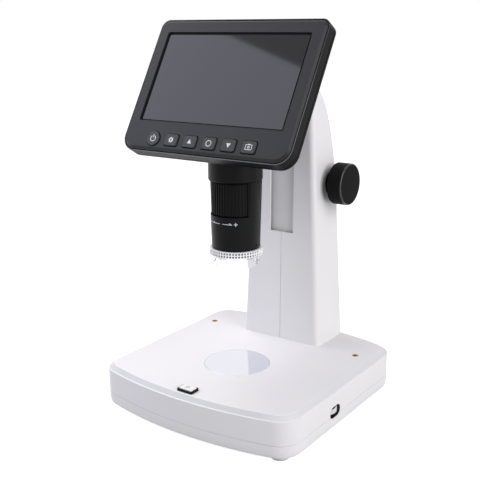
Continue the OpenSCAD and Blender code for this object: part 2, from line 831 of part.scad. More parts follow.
// Rack teeth face the back; a gap of the rack faces the pinion's tooth at rest
module focus_rack() {
    tip_half = tooth_pitch / 4 - backlash - addendum * tan(pressure_angle);
    root_half = tooth_pitch / 4 - backlash + dedendum * tan(pressure_angle);
    first = floor((rack_low - shaft_h) / tooth_pitch) + 1;
    last = floor((rack_high - shaft_h) / tooth_pitch) - 2;
    color("silver") translate([rack_w / 2, 0, 0]) rotate([0, -90, 0]) linear_extrude(rack_w)
        polygon(concat(
            [[rack_low, rack_y], [rack_low, pitch_y - dedendum]],
            [for (i = [first:last], p = [[-root_half, -dedendum], [-tip_half, addendum],
                                         [tip_half, addendum], [root_half, -dedendum]])
                [shaft_h + (i + 0.5) * tooth_pitch + p[0], pitch_y + p[1]]],
            [[rack_high, pitch_y - dedendum], [rack_high, rack_y]]
        ));
}

module slot_cover() {
    low = slot_bottom_h - focus_up - 7;
    high = slot_top_h + 2;
    color("gainsboro") difference() {
        translate([-slot_w / 2 - 2.5, cover_y, low]) cube([slot_w + 5, cover_t, high - low]);
        translate([-arm_w / 2 - 0.1, cover_y - 1, arm_bottom_h - 0.1])
            cube([arm_w + 0.2, cover_t + 2, arm_t + 0.2]);
    }
}

module pinion_shaft() {
    color("silver") translate([2 - knob_reach, shaft_y, shaft_h]) rotate([0, 90, 0])
        cylinder(r = shaft_r, h = 2 * knob_reach - 4);
}

function involute(r, base_r) = r <= base_r ? 0 :
    let (a = acos(base_r / r)) tan(a) * 180 / PI - a;

module pinion_gear() {
    base_r = pitch_r * cos(pressure_angle);
    tip_r = pitch_r + addendum;
    root_r = pitch_r - dedendum;
    half = 90 / pinion_teeth - backlash / pitch_r * 180 / PI;
    radii = [root_r, base_r, (base_r + pitch_r) / 2, pitch_r, (pitch_r + tip_r) / 2, tip_r];
    function flank(r) = half + involute(pitch_r, base_r) - involute(r, base_r);
    face_w = rack_w - 1;
    color("goldenrod") translate([-face_w / 2, shaft_y, shaft_h]) rotate([90, 0, 90])
        difference() {
            linear_extrude(face_w)
                polygon([for (i = [0:pinion_teeth - 1], k = [0:11])
                    let (rising = k < 6, r = rising ? radii[k] : radii[11 - k],
                         a = 180 + i * 360 / pinion_teeth + (rising ? -flank(r) : flank(r)))
                    [r * cos(a), r * sin(a)]]);
            translate([0, 0, -1]) cylinder(r = shaft_r + 0.02, h = face_w + 2);
        }
}

// Knob with its axis along +Z, from the column's wall outwards
module knob() {
    chamfer = 0.9;
    color("black") difference() {
        rotate_extrude() polygon([
            [0, hub_start], [knob_hub_r, hub_start], [knob_hub_r, grip_start],
            [knob_r - 0.6, grip_start], [knob_r, grip_start + 0.6],
            [knob_r, knob_reach - chamfer], [knob_r - chamfer, knob_reach], [0, knob_reach]
        ]);
        translate([0, 0, hub_start - 1])
            cylinder(r = shaft_r + 0.02, h = knob_reach - 2 - hub_start + 1 + 0.1);
        translate([0, 0, (hub_start + grip_start) / 2]) rotate([0, 90, 90])
            cylinder(r = set_screw_r + 0.02, h = 2 * knob_hub_r);
    }
}

module left_knob() { translate([0, shaft_y, shaft_h]) rotate([0, -90, 0]) knob(); }

module right_knob() { translate([0, shaft_y, shaft_h]) rotate([0, 90, 0]) knob(); }

module knob_set_screws() {
    color("silver") for (side = [-1, 1])
        translate([side * (hub_start + grip_start) / 2, shaft_y + shaft_r, shaft_h])
            rotate([-90, 0, 0]) cylinder(r = set_screw_r, h = knob_hub_r - shaft_r - 0.8);
}

// ---- head ----

module head_arm() {
    ring_r = barrel_top_r - head_wall;
    color("gray") difference() {
        union() {
            translate([-arm_w / 2, stage_y + ring_r - 4, arm_bottom_h])
                cube([arm_w, carriage_y - stage_y - ring_r + 4, arm_t]);
            on_tube(arm_bottom_h) cylinder(r = ring_r, h = arm_t);
        }
        on_tube(arm_bottom_h - 1) cylinder(r = ring_r - 4, h = arm_t + 2);
        // room for the monitor's back
        on_monitor() translate([-column_w, -column_w, -monitor_mid_t - open_gap])
            cube([2 * column_w, 2 * column_w, monitor_mid_t]);
        for (x = [-arm_hold_x, arm_hold_x])
            translate([x, carriage_y - 9, arm_bottom_h + arm_t / 2]) rotate([-90, 0, 0])
                cylinder(r = screw_r, h = 12);
    }
}

module arm_screws() {
    color("silver") for (x = [-arm_hold_x, arm_hold_x])
        translate([x, rack_y, arm_bottom_h + arm_t / 2]) rotate([90, 0, 0])
            pan_screw(carriage_t + 7);
}

// Point behind the monitor's back by a gap, up the screen by u, seen from the side
function back_point(u, gap) = [
    monitor_y + u * sin(tilt) + (monitor_mid_t + gap) * cos(tilt),
    monitor_h + u * cos(tilt) - (monitor_mid_t + gap) * sin(tilt)
];

// Side of the head; an inset one runs on past the face that meets the monitor
module head_side(inset) {
    gap = 0.2 - inset;
    low_u = (head_low + inset - back_point(0, gap)[1]) / cos(tilt);
    top = back_point(head_top_u - inset, gap);
    polygon([
        back_point(low_u, gap), [neck_back - inset, head_low + inset],
        [neck_back - inset, arm_bottom_h + arm_t + head_rise - inset],
        [top[0] + head_top_d, top[1]], top
    ]);
}

module head_block(inset) {
    intersection() {
        translate([-40, 0, 0]) rotate([90, 0, 90]) linear_extrude(80) head_side(inset);
        translate([0, 0, head_low - 1]) linear_extrude(90) {
            translate([0, stage_y]) circle(r = head_r - inset);
            translate([-neck_w / 2 + inset, stage_y - 8 + inset])
                square([neck_w - 2 * inset, neck_back - stage_y + 8 - 2 * inset]);
        }
    }
}

module head_shell(side) {
    difference() {
        union() {
            difference() {
                head_block(0);
                head_block(head_wall);
            }
            intersection() {
                translate([-neck_w / 2, head_screw_y, head_screw_h]) rotate([0, 90, 0])
                    cylinder(r = 3, h = neck_w);
                head_block(0.5);
            }
        }
        on_tube(head_low - 1) cylinder(r = collar_r + 0.1, h = arm_bottom_h - head_low + 1);
        translate([-arm_w / 2 - 0.1, stage_y, arm_bottom_h - 0.1])
            cube([arm_w + 0.2, 60, arm_t + 0.2]);
        translate([-neck_w, head_screw_y, head_screw_h]) rotate([0, 90, 0])
            cylinder(r = screw_r, h = neck_w * 2 - neck_w / 2 - 2);
        translate([-neck_w / 2 - 1, head_screw_y, head_screw_h]) rotate([0, 90, 0])
            cylinder(r = screw_head_r + 0.1, h = screw_head_t + 1);
        translate([side > 0 ? -100 : 0, -100, 100]) cube([100, 200, 200]);
    }
}

module head_left_shell() { color("black") head_shell(-1); }

module head_right_shell() { color("black") head_shell(1); }

module head_screws() {
    color("silver") translate([-neck_w / 2 + screw_head_t, head_screw_y, head_screw_h])
        rotate([0, 90, 0]) pan_screw(neck_w - screw_head_t - 4);
}

module tube_collar() {
    l = collar_top - collar_bottom_h;
    color("black") on_tube(collar_bottom_h) difference() {
        cylinder(r = collar_r, h = l);
        translate([0, 0, -1]) cylinder(r = barrel_bore_r + 0.6, h = l + 1 - collar_lip);
        cylinder(r = barrel_bore_r - 2.5, h = l + 1);
    }
}

function window_point(r, side, flare) =
    let (a = side * (window_angle / 2 + flare)) [r * cos(a), r * sin(a)];

module tube_barrel() {
    l = collar_bottom_h - barrel_bottom_h;
    color("black") difference() {
        on_tube(barrel_bottom_h) cylinder(r1 = barrel_bottom_r, r2 = barrel_top_r, h = l);
        on_tube(barrel_bottom_h - 1) cylinder(r = barrel_bore_r, h = l + 2);
        // room for the wheel, and the window that shows it
        on_tube(wheel_low - 0.2) cylinder(r = wheel_r + 0.15, h = window_l + 0.4);
        on_tube(window_low) rotate([0, 0, -90]) linear_extrude(window_l + 1)
            polygon([[0, 0], window_point(wheel_r, -1, 0), window_point(barrel_top_r, -1, window_flare),
                     window_point(3 * barrel_top_r, -1, 0), window_point(3 * barrel_top_r, 1, 0),
                     window_point(barrel_top_r, 1, window_flare), window_point(wheel_r, 1, 0)]);
        for (a = [0, 180])
            on_tube(barrel_bottom_h + barrel_hold) rotate([0, 0, a]) rotate([0, 90, 0])
                cylinder(r = 0.9, h = 2 * barrel_bore_r);
    }
}

module barrel_screws() {
    color("dimgray") for (a = [0, 180])
        on_tube(barrel_bottom_h + barrel_hold) rotate([0, 0, a]) translate([barrel_bore_r - 1.6, 0, 0])
            rotate([0, 90, 0]) cylinder(r = 0.85, h = barrel_bottom_r - barrel_bore_r + 1);
}

module magnification_wheel() {
    color("black") on_tube(wheel_low) difference() {
        linear_extrude(window_l)
            polygon([for (i = [0:4 * wheel_ribs - 1])
                let (r = i % 4 < 2 ? wheel_r : wheel_r - 0.55, a = (i + 0.5) * 90 / wheel_ribs)
                [r * cos(a), r * sin(a)]]);
        translate([0, 0, -1]) cylinder(r = barrel_bore_r, h = window_l + 2);
    }
}

module lens_cell() {
    color("dimgray") on_tube(cell_low) difference() {
        cylinder(r = cell_r, h = cell_h);
        translate([0, 0, -1]) cylinder(r = lens_r - 2, h = cell_h + 2);
        for (z = [-1, cell_h - lens_t - 0.4]) translate([0, 0, z]) cylinder(r = lens_r + 0.02, h = lens_t + 1.4);
    }
}

// Two lenses, each the common part of a disc and a large sphere
module objective_lenses() {
    bulge_r = 24;
    color("lightcyan") {
        on_tube(cell_low + 0.4) intersection() {
            cylinder(r = lens_r, h = lens_t);
            translate([0, 0, bulge_r - 0.2]) sphere(r = bulge_r);
        }
        on_tube(cell_low + cell_h - lens_t - 0.4) intersection() {
            cylinder(r = lens_r, h = lens_t);
            translate([0, 0, lens_t + 0.2 - bulge_r]) sphere(r = bulge_r);
        }
    }
}

module sensor_board() {
    color("seagreen") on_tube(collar_top - collar_lip - pcb_t - 0.02) {
        cylinder(r = barrel_bore_r + 0.4, h = pcb_t);
        translate([-4, -4, -1.5]) cube([8, 8, 1.5 + eps]);
    }
}

module nose_light_board() {
    color("ivory") on_tube(barrel_bottom_h + 0.2) difference() {
        union() {
            cylinder(r = barrel_bore_r - 1.7, h = 1.2);
            for (i = [0:7])
                rotate([0, 0, i * 45 + 22.5]) translate([barrel_bore_r - 4.2, 0, -1.4])
                    cylinder(r = 1.5, h = 1.4 + eps);
        }
        translate([0, 0, -3]) cylinder(r = 7.5, h = 8);
    }
}

module nose_ring() {
    ring_bottom = barrel_bottom_h - nose_ring_t;
    color([0.9, 0.95, 1, 0.5]) on_tube(ring_bottom) difference() {
        union() {
            linear_extrude(nose_ring_t - 0.05)
                polygon([for (i = [0:4 * nose_ribs - 1])
                    let (r = i % 4 < 2 ? nose_ring_r : nose_ring_r - 0.7, a = (i + 0.5) * 90 / nose_ribs)
                    [r * cos(a), r * sin(a)]]);
            // sleeve that the barrel's screws hold
            cylinder(r = barrel_bore_r - 0.05, h = nose_ring_t + 5);
        }
        translate([0, 0, -1]) cylinder(r = barrel_bore_r - 1.6, h = nose_ring_t + 8);
        for (a = [0, 180])
            translate([0, 0, nose_ring_t + barrel_hold]) rotate([0, 0, a]) rotate([0, 90, 0])
                cylinder(r = 0.9, h = 2 * barrel_bore_r);
    }
}

module nose_hood() {
    hood_bottom = barrel_bottom_h - nose_ring_t - hood_l;
    color([0.9, 0.95, 1, 0.5]) on_tube(hood_bottom) {
        difference() {
            cylinder(r = hood_r, h = hood_l);
            translate([0, 0, -1]) cylinder(r = hood_r - hood_wall, h = hood_l + 2);
        }
        // rim that stands against the nose ring's underside
        translate([0, 0, hood_l - 1.2]) difference() {
            cylinder(r = hood_r + 1.2, h = 1.2);
            translate([0, 0, -1]) cylinder(r = hood_r - hood_wall, h = 4);
        }
        // two bayonet hooks
        for (a = [35.6, 215.6]) rotate([0, 0, a])
            translate([hood_r - 0.3, -1.6, 1.6]) cube([1.5, 3.2, hood_l - 1.6]);
    }
}

// ---- monitor ----

module monitor_bezel() {
    skirt = 2.4;
    skirt_in = monitor_wall + 0.1;
    skirt_t = 0.75;
    color("dimgray") on_monitor() difference() {
        union() {
            hull() {
                translate([0, 0, -1.4]) linear_extrude(eps) monitor_outline(0);
                translate([0, 0, -0.5]) linear_extrude(eps) monitor_outline(0.35);
                translate([0, 0, -eps]) linear_extrude(eps) monitor_outline(1.3);
            }
            translate([0, 0, -bezel_t]) linear_extrude(bezel_t - 1.3) monitor_outline(0);
            translate([0, 0, -bezel_t - skirt]) linear_extrude(skirt) difference() {
                monitor_outline(skirt_in);
                monitor_outline(skirt_in + skirt_t);
            }
            for (p = monitor_hold) translate([p[0], p[1], sleeve_l + 0.1 - monitor_edge_t])
                cylinder(r = 2.6, h = monitor_edge_t - sleeve_l - 0.1 - bezel_t + eps);
        }
        translate([0, 0, -bezel_t - 1]) linear_extrude(bezel_t + 2)
            square([screen_w, screen_h], center = true);
        translate([key_xs[0], key_y, -bezel_t - 1])
            cylinder(r = power_key_r + key_gap, h = bezel_t + 2);
        for (i = [1:5]) translate([key_xs[i], key_y, -bezel_t - 1])
            linear_extrude(bezel_t + 2)
                round_rect(key_w + 2 * key_gap, key_h + 2 * key_gap, 1.6);
        for (p = monitor_hold) translate([p[0], p[1], -seat_depth])
            cylinder(r = screw_r, h = seat_depth - bezel_t - 0.5);
    }
}

// Raised middle of the rear shell, from its foot to its flat back
module rear_bulge(wall) {
    bulge_w = monitor_w - 36;
    bulge_h = monitor_above + monitor_below - 18;
    flare = 4.5;
    hull() {
        translate([0, rear_y, wall - monitor_edge_t + 0.6]) linear_extrude(eps)
            round_rect(bulge_w + 2 * flare - 2 * wall, bulge_h + flare - 2 * wall, 9 - wall);
        translate([0, rear_y, wall - monitor_mid_t]) linear_extrude(eps)
            round_rect(bulge_w - 2 * wall, bulge_h - 2 * wall, 8 - wall);
    }
}

module monitor_rear_shell() {
    color("black") on_monitor() difference() {
        union() {
            translate([0, 0, -monitor_edge_t])
                linear_extrude(monitor_edge_t - bezel_t - 0.2) monitor_outline();
            rear_bulge(0);
        }
        difference() {
            translate([0, 0, monitor_wall - monitor_edge_t])
                linear_extrude(monitor_edge_t) monitor_outline(monitor_wall);
            for (p = monitor_hold) translate([p[0], p[1], -monitor_edge_t])
                cylinder(r = screw_head_r + 1.4, h = sleeve_l);
        }
        rear_bulge(monitor_wall);
        for (p = monitor_hold) translate([p[0], p[1], -monitor_edge_t - 1]) {
            cylinder(r = screw_r + 0.1, h = sleeve_l + 2);
            cylinder(r = screw_head_r + 0.1, h = monitor_edge_t + 1 - seat_depth);
        }
        // two sockets and a card slot in the left side
        for (s = side_sockets)
            translate([-monitor_w / 2 - 1, s[0] - s[1] / 2, -board_front - 0.2])
                cube([monitor_wall + 3, s[1], s[2] + 0.2]);
    }
}

module screen_window() {
    color("slategray") on_monitor() translate([0, 0, -glass_back])
        linear_extrude(glass_t - 0.02) round_rect(screen_w + 5, screen_h + 3, 1.5);
}

module lcd_panel() {
    color("dimgray") on_monitor() translate([-(screen_w + 2.5) / 2, -(screen_h + 3) / 2, -lcd_back])
        cube([screen_w + 2.5, screen_h + 3, lcd_t - 0.02]);
}

module main_board() {
    half_w = monitor_w / 2 - monitor_wall - 1.2;
    color("seagreen") on_monitor() {
        translate([-half_w, -screen_h / 2 - 2, -board_front - pcb_t])
            cube([2 * half_w, screen_h + 1.5, pcb_t]);
        // spacers that seat the board on the panel
        for (x = [-45, 45], y = [-26, 26])
            translate([x, y, -board_front]) cylinder(r = 2, h = board_front - lcd_back);
        for (s = side_sockets)
            translate([-monitor_w / 2 + monitor_wall / 2, s[0] - s[1] / 2 + 0.1, -board_front - eps])
                difference() {
                    cube([side_socket_l, s[1] - 0.2, s[2] - 0.2]);
                    translate([-1, 0.5, 0.4]) cube([side_socket_l, s[1] - 1.2, s[2] - 1]);
                }
        translate([-10, 4, -board_front - pcb_t - 1.4]) cube([14, 14, 1.4 + eps]);
    }
}

module battery() {
    color("lightgray") on_monitor()
        translate([battery_x, battery_y, -monitor_mid_t + monitor_wall])
            cube([battery_w, battery_l, monitor_mid_t - monitor_wall - board_front - pcb_t]);
}

module key_board() {
    color("seagreen") on_monitor() {
        translate([key_xs[0] - key_board_end, key_y - key_board_w / 2, -key_board_front - pcb_t])
            cube([key_xs[5] - key_xs[0] + 2 * key_board_end, key_board_w, pcb_t]);
        for (x = key_xs) translate([x, key_y, -key_board_front]) cylinder(r = 2.4, h = switch_t);
        // posts that carry the board on the bezel's back
        for (x = [key_xs[0] - key_board_end + 1, key_xs[5] + key_board_end - 1])
            translate([x, key_y, -key_board_front - eps]) cylinder(r = 0.9, h = key_board_front - bezel_t);
    }
}

// Square key with its flange under the bezel, at a place in the row
module square_key(i) {
    color("dimgray") on_monitor() translate([key_xs[i], key_y, 0]) {
        translate([0, 0, -bezel_t - 0.05]) linear_extrude(bezel_t + key_proud + 0.05)
            round_rect(key_w, key_h, 1.35);
        translate([0, 0, -bezel_t - 0.05 - key_flange_t]) linear_extrude(key_flange_t)
            round_rect(key_w + 2 * key_flange, key_h + 2 * key_flange, 1.8);
    }
}

module power_key() {
    color("dimgray") on_monitor() translate([key_xs[0], key_y, 0]) {
        translate([0, 0, -bezel_t - 0.05]) cylinder(r = power_key_r, h = bezel_t + key_proud + 0.05);
        translate([0, 0, -bezel_t - 0.05 - key_flange_t])
            cylinder(r = power_key_r + key_flange, h = key_flange_t);
    }
}

module menu_key() { square_key(1); }

module up_key() { square_key(2); }

module select_key() { square_key(3); }

module down_key() { square_key(4); }

module capture_key() { square_key(5); }

module monitor_screws() {
    color("silver") on_monitor() for (p = monitor_hold)
        translate([p[0], p[1], -seat_depth]) pan_screw(seat_depth - bezel_t - 1.5);
}

base_top_shell();
base_bottom_shell();
rubber_feet();
base_screws();
stage_disc();
stage_light_board();
clip_inserts();
light_button_frame();
light_button();
light_switch();
base_circuit_board();
dimmer_wheel();
dimmer_potentiometer();
power_socket();
column_left_shell();
column_right_shell();
column_screws();
foot_bracket();
bracket_screws();
guide_rail();
carriage();
focus_rack();
slot_cover();
pinion_shaft();
pinion_gear();
shaft_bushes();
friction_washers();
retaining_rings();
left_knob();
right_knob();
knob_set_screws();
head_arm();
arm_screws();
head_left_shell();
head_right_shell();
head_screws();
tube_collar();
tube_barrel();
magnification_wheel();
lens_cell();
objective_lenses();
sensor_board();
nose_light_board();
nose_ring();
nose_hood();
barrel_screws();
monitor_bezel();
monitor_rear_shell();
screen_window();
lcd_panel();
main_board();
battery();
key_board();
power_key();
menu_key();
up_key();
select_key();
down_key();
capture_key();
monitor_screws();
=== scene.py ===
import json
import math

import bmesh
import bpy
from mathutils import Matrix, Vector


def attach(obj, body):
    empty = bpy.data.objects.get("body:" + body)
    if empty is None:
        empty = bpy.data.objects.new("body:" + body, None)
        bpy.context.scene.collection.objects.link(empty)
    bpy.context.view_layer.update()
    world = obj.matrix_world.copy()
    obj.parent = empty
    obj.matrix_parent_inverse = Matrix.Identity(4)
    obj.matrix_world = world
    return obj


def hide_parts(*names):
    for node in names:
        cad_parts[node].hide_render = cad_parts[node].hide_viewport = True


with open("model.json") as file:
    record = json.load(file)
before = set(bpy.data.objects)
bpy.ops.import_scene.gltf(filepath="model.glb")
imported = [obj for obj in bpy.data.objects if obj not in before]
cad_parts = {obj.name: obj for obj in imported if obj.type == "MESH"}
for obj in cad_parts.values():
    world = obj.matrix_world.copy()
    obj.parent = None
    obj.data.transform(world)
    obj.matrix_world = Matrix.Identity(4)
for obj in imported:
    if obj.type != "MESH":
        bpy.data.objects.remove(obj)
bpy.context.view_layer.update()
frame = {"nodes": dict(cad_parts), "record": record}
rad = math.radians
mm = 0.001

# places that several pieces share, in mm and degrees
stageY = -16.4
dimmerSeat = {"x": 68.3, "y": -15.3, "z": 17.3}
knobSeat = {"y": 62.7, "z": 151.1}
monitorSeat = {"y": -30.2, "z": 229.35, "tilt": 59.3}


# place in mm, turns in degrees, focal length and centre in pixels of a frame this wide
cameraView = {"place": (311.67, -451.22, 264.35), "azimuth": 35.63, "elevation": 14.93, "roll": -0.53,
              "focal": 825.05, "centreX": 236.09, "frame": 480, "sensor": 36, "near": 0.02, "far": 20}


def makeCamera(view):
    azimuth, elevation, roll = (rad(view[turn]) for turn in ("azimuth", "elevation", "roll"))
    back = Vector((math.sin(azimuth) * math.cos(elevation), -math.cos(azimuth) * math.cos(elevation),
                   math.sin(elevation)))
    right = Vector((math.cos(azimuth), math.sin(azimuth), 0))
    up = back.cross(right)
    across = right * math.cos(roll) + up * math.sin(roll)
    upward = up * math.cos(roll) - right * math.sin(roll)
    lens = bpy.data.cameras.new("camera")
    lens.sensor_width = view["sensor"]
    lens.lens = view["focal"] * view["sensor"] / view["frame"]
    lens.shift_x = (view["frame"] / 2 - view["centreX"]) / view["frame"]
    lens.clip_start, lens.clip_end = view["near"], view["far"]
    camera = bpy.data.objects.new("camera", lens)
    bpy.context.scene.collection.objects.link(camera)
    turn = Matrix((across, upward, back)).transposed().to_4x4()
    camera.matrix_world = Matrix.Translation(Vector(view["place"]) * mm) @ turn
    bpy.context.scene.camera = camera


makeCamera(cameraView)
print("camera ready")


class Link:
    # one output socket, with the sums that the finishes use
    def __init__(self, finish, socket):
        self.finish, self.socket = finish, socket

    def sum(self, how, other=None, reflected=False):
        terms = [self] if other is None else [other, self] if reflected else [self, other]
        return self.finish.node("ShaderNodeMath", {"operation": how}, dict(enumerate(terms)))

    def __add__(self, other): return self.sum("ADD", other)
    def __sub__(self, other): return self.sum("SUBTRACT", other)
    def __rsub__(self, other): return self.sum("SUBTRACT", other, True)
    def __mul__(self, other): return self.sum("MULTIPLY", other)
    def __truediv__(self, other): return self.sum("DIVIDE", other)
    def __rtruediv__(self, other): return self.sum("DIVIDE", other, True)
    def __gt__(self, other): return self.sum("GREATER_THAN", other)
    def __lt__(self, other): return self.sum("LESS_THAN", other)
    def __abs__(self): return self.sum("ABSOLUTE")

    __radd__ = __add__
    __rmul__ = __mul__


class Finish:
    # a material, its main shader and the nodes that feed it
    def __init__(self, name, color, roughness, **sockets):
        self.material = bpy.data.materials.new(name)
        self.material.use_nodes = True
        self.material.diffuse_color = (*color, 1)
        self.tree = self.material.node_tree
        self.shader = self.tree.nodes["Principled BSDF"]
        self.tone = color
        self.set("Base Color", color)
        self.set("Roughness", roughness)
        for socket, value in sockets.items():
            self.set(socket.replace("_", " "), value)

    def plug(self, socket, value):
        if isinstance(value, Link):
            self.tree.links.new(value.socket, socket)
        elif hasattr(value, "__len__") and len(value) < len(socket.default_value):
            socket.default_value = (*value, 1)
        else:
            socket.default_value = value

    def set(self, socket, value):
        self.plug(self.shader.inputs[socket], value)
        return self

    def node(self, kind, settings=None, inputs=None, output=0):
        made = self.tree.nodes.new(kind)
        for name, value in (settings or {}).items():
            setattr(made, name, value)
        for name, value in (inputs or {}).items():
            self.plug(made.inputs[name], value)
        return Link(self, made.outputs[output])

    def place(self):
        return self.node("ShaderNodeTexCoord", output="Object")

    def axes(self, wanted):
        outputs = self.node("ShaderNodeSeparateXYZ", inputs={0: self.place()}).socket.node.outputs
        return [Link(self, outputs[axis]) for axis in wanted]

    def noise(self, scale, detail, stretch=None):
        place = self.place()
        if stretch:
            place = self.node("ShaderNodeMapping", inputs={"Vector": place, "Scale": stretch})
        return self.node("ShaderNodeTexNoise", inputs={"Vector": place, "Scale": scale, "Detail": detail})

    def mix(self, mask, a, b):
        return self.node("ShaderNodeMix", {"data_type": "RGBA"}, {0: mask, 6: a, 7: b}, output=2)

    def bump(self, height, distance):
        return self.set("Normal", self.node("ShaderNodeBump", inputs={
            "Height": height, "Strength": 1.0, "Distance": distance}))


# shader maths on places: masks are 1 inside and 0 outside, and sizes are in mm
def within(value, low, high):
    return (value > low * mm) * (value < high * mm)


def boxed(finish, *spans):
    x, y, z = (within(value, *span) for value, span in zip(finish.axes("XYZ"), spans))
    return x * y * z


def radius(u, v, centre):
    u, v = u - centre[0] * mm, v - centre[1] * mm
    return (u * u + v * v).sum("SQRT")


def shaded(color, share):
    return tuple(c * share for c in color)


def recolored(finish, mask, inner):
    shade = finish.shader.inputs["Base Color"].links[0].from_socket
    return finish.set("Base Color", finish.mix(mask, Link(finish, shade), inner))


# noise scales of the slow drifts and of the brushing, and how far each changes tone or roughness
plasticLook = {"tone": 22, "polish": 60, "spread": 0.12}
metalLook = {"brushing": 900, "detail": 4, "darker": 0.85, "spread": 0.25, "depth": 0.00001}


def plastic(name, color, roughness, grain=1600, depth=0.00003, drift=0.04, **sockets):
    # moulded plastic: fine grain in the surface, a slow drift in tone and in polish
    finish = Finish(name, color, roughness, **sockets)
    cloud = finish.noise(plasticLook["tone"], 3)
    finish.set("Base Color", finish.mix(cloud, shaded(color, 1 - drift), shaded(color, 1 + drift)))
    finish.set("Roughness", (finish.noise(plasticLook["polish"], 2) - 0.5) * plasticLook["spread"] + roughness)
    return finish.bump(finish.noise(grain, 3), depth)


def metal(name, color, roughness, stretch=(1, 1, 1)):
    look = metalLook
    finish = Finish(name, color, roughness, Metallic=1.0)
    brushed = finish.noise(look["brushing"], look["detail"], stretch)
    finish.set("Base Color", finish.mix(brushed, shaded(color, look["darker"]), color))
    finish.set("Roughness", (brushed - 0.5) * look["spread"] + roughness)
    return finish.bump(brushed, look["depth"])


def moulded(finish, grain, depth, drift):
    # clear or glossy moulding: a slow drift in polish and a faint ripple
    polish = finish.shader.inputs["Roughness"].default_value
    finish.set("Roughness", (finish.noise(plasticLook["polish"], 2) - 0.5) * drift + polish)
    return finish.bump(finish.noise(grain, 2), depth)


# solder mask with paler tracks under it, and painted shade, a dark colour, where a socket's opening shows it
boardLook = {"roughness": 0.35, "coat": 0.4, "tracks": 420.0, "track": 0.06, "paler": 1.9, "edge": 55,
             "above": 150, "paintedShade": (0.03, 0.03, 0.03)}


def boardFinish(name, color):
    look = boardLook
    finish = Finish(name, color, look["roughness"], Coat_Weight=look["coat"])
    x, z = finish.axes("XZ")
    tracks = finish.node("ShaderNodeTexVoronoi", {"feature": "DISTANCE_TO_EDGE"},
                         {"Vector": finish.place(), "Scale": look["tracks"]}, output="Distance")
    finish.set("Base Color", finish.mix(tracks < look["track"], color, shaded(color, look["paler"])))
    # painted shade: the board near its edge, seen through the sockets, is coloured dark
    return recolored(finish, (abs(x) > look["edge"] * mm) * (z > look["above"] * mm), look["paintedShade"])


# the monitor's rear shell is polished on its front rim, and darker behind its seam
rearLook = {"rim": -1.89, "seam": -8.28, "share": 0.45, "polish": 0.1}


def edgeShine(finish):
    look, seat, tilt = rearLook, monitorSeat, rad(monitorSeat["tilt"])
    y, z = finish.axes("YZ")
    out = (z - seat["z"] * mm) * math.cos(tilt) - (y - seat["y"] * mm) * math.sin(tilt)
    finish.set("Coat Roughness", look["polish"])
    finish.set("Coat Weight", out > look["rim"] * mm)
    return recolored(finish, out < look["seam"] * mm, shaded(finish.tone, look["share"]))


# the edge round a knob's face is polished, and its side is painted a little paler, as painted light
knobLook = {"face": 42.55, "flat": 14.05, "side": 14.84, "tone": (0.013, 0.013, 0.0135), "polish": 0.18}


def polishedRimPaintedSide(finish):
    look = knobLook
    x, y, z = finish.axes("XYZ")
    away = radius(y, z, (knobSeat["y"], knobSeat["z"]))
    finish.set("Coat Roughness", look["polish"])
    finish.set("Coat Weight", (abs(x) > look["face"] * mm) * (away > look["flat"] * mm))
    # painted light: the knob's side is coloured paler than its face
    return recolored(finish, away > look["side"] * mm, look["tone"])


# the inside of the base and the walls of the dimmer's hole are painted dark as painted shade, and
# the step round the working surface has painted shade, greyer at the front and back than at the sides
shellLook = {"inside": ((-74.8, 74.8), (-60, 60), (8.2, 30.6)), "hole": ((70, 77.2), (-22.8, -7.8), (12.8, 21.8)),
             "paintedShade": (0.01, 0.01, 0.01), "step": (30.95, 33.32), "sides": (56, 18), "paler": 0.6,
             "share": (0.73, 0.745, 0.75)}


def paintedStepShade(finish):
    look = shellLook
    x, z = finish.axes("XZ")
    start, over = look["sides"]
    aside = ((abs(x) - start * mm) / (over * mm)).sum("MAXIMUM", 0.0).sum("MINIMUM", 1.0)
    stepShade = tuple(c * share for c, share in zip(finish.tone, look["share"]))
    # painted shade: the step is coloured greyer, fading towards the sides where more light falls
    return recolored(finish, within(z, *look["step"]) * (1 - aside * look["paler"]), stepShade)


def paintedHollowShade(finish):
    look = shellLook
    # painted shade: the inside of the base and the walls of the dimmer's hole are coloured dark
    mask = boxed(finish, *look["inside"]).sum("MAXIMUM", boxed(finish, *look["hole"]))
    return recolored(finish, mask, look["paintedShade"])


# the dimmer wheel's flat faces are painted dark inside its rim, as painted shade in its hole
dimmerLook = {"rim": 8.32, "paintedShade": (0.02, 0.02, 0.02)}


def paintedHubShade(finish):
    x, y = finish.axes("XY")
    away = radius(x, y, (dimmerSeat["x"], dimmerSeat["y"]))
    # painted shade: the wheel's faces inside the hole are coloured dark
    return recolored(finish, away < dimmerLook["rim"] * mm, dimmerLook["paintedShade"])


# the floor of the nose ring's pits is painted darker than its ribs, as painted shade where the dark tube shows
# through the clear ring
ringLook = {"floor": 17.52, "pits": (113.4, 117.3), "pitShade": (0.03, 0.03, 0.03)}


def paintedPitShade(finish):
    x, y, z = finish.axes("XYZ")
    pits = (radius(x, y, (0, stageY)) < ringLook["floor"] * mm) * within(z, *ringLook["pits"])
    # painted shade: the pits' floor is coloured dark grey
    return finish.set("Base Color", finish.mix(pits, finish.tone, ringLook["pitShade"]))


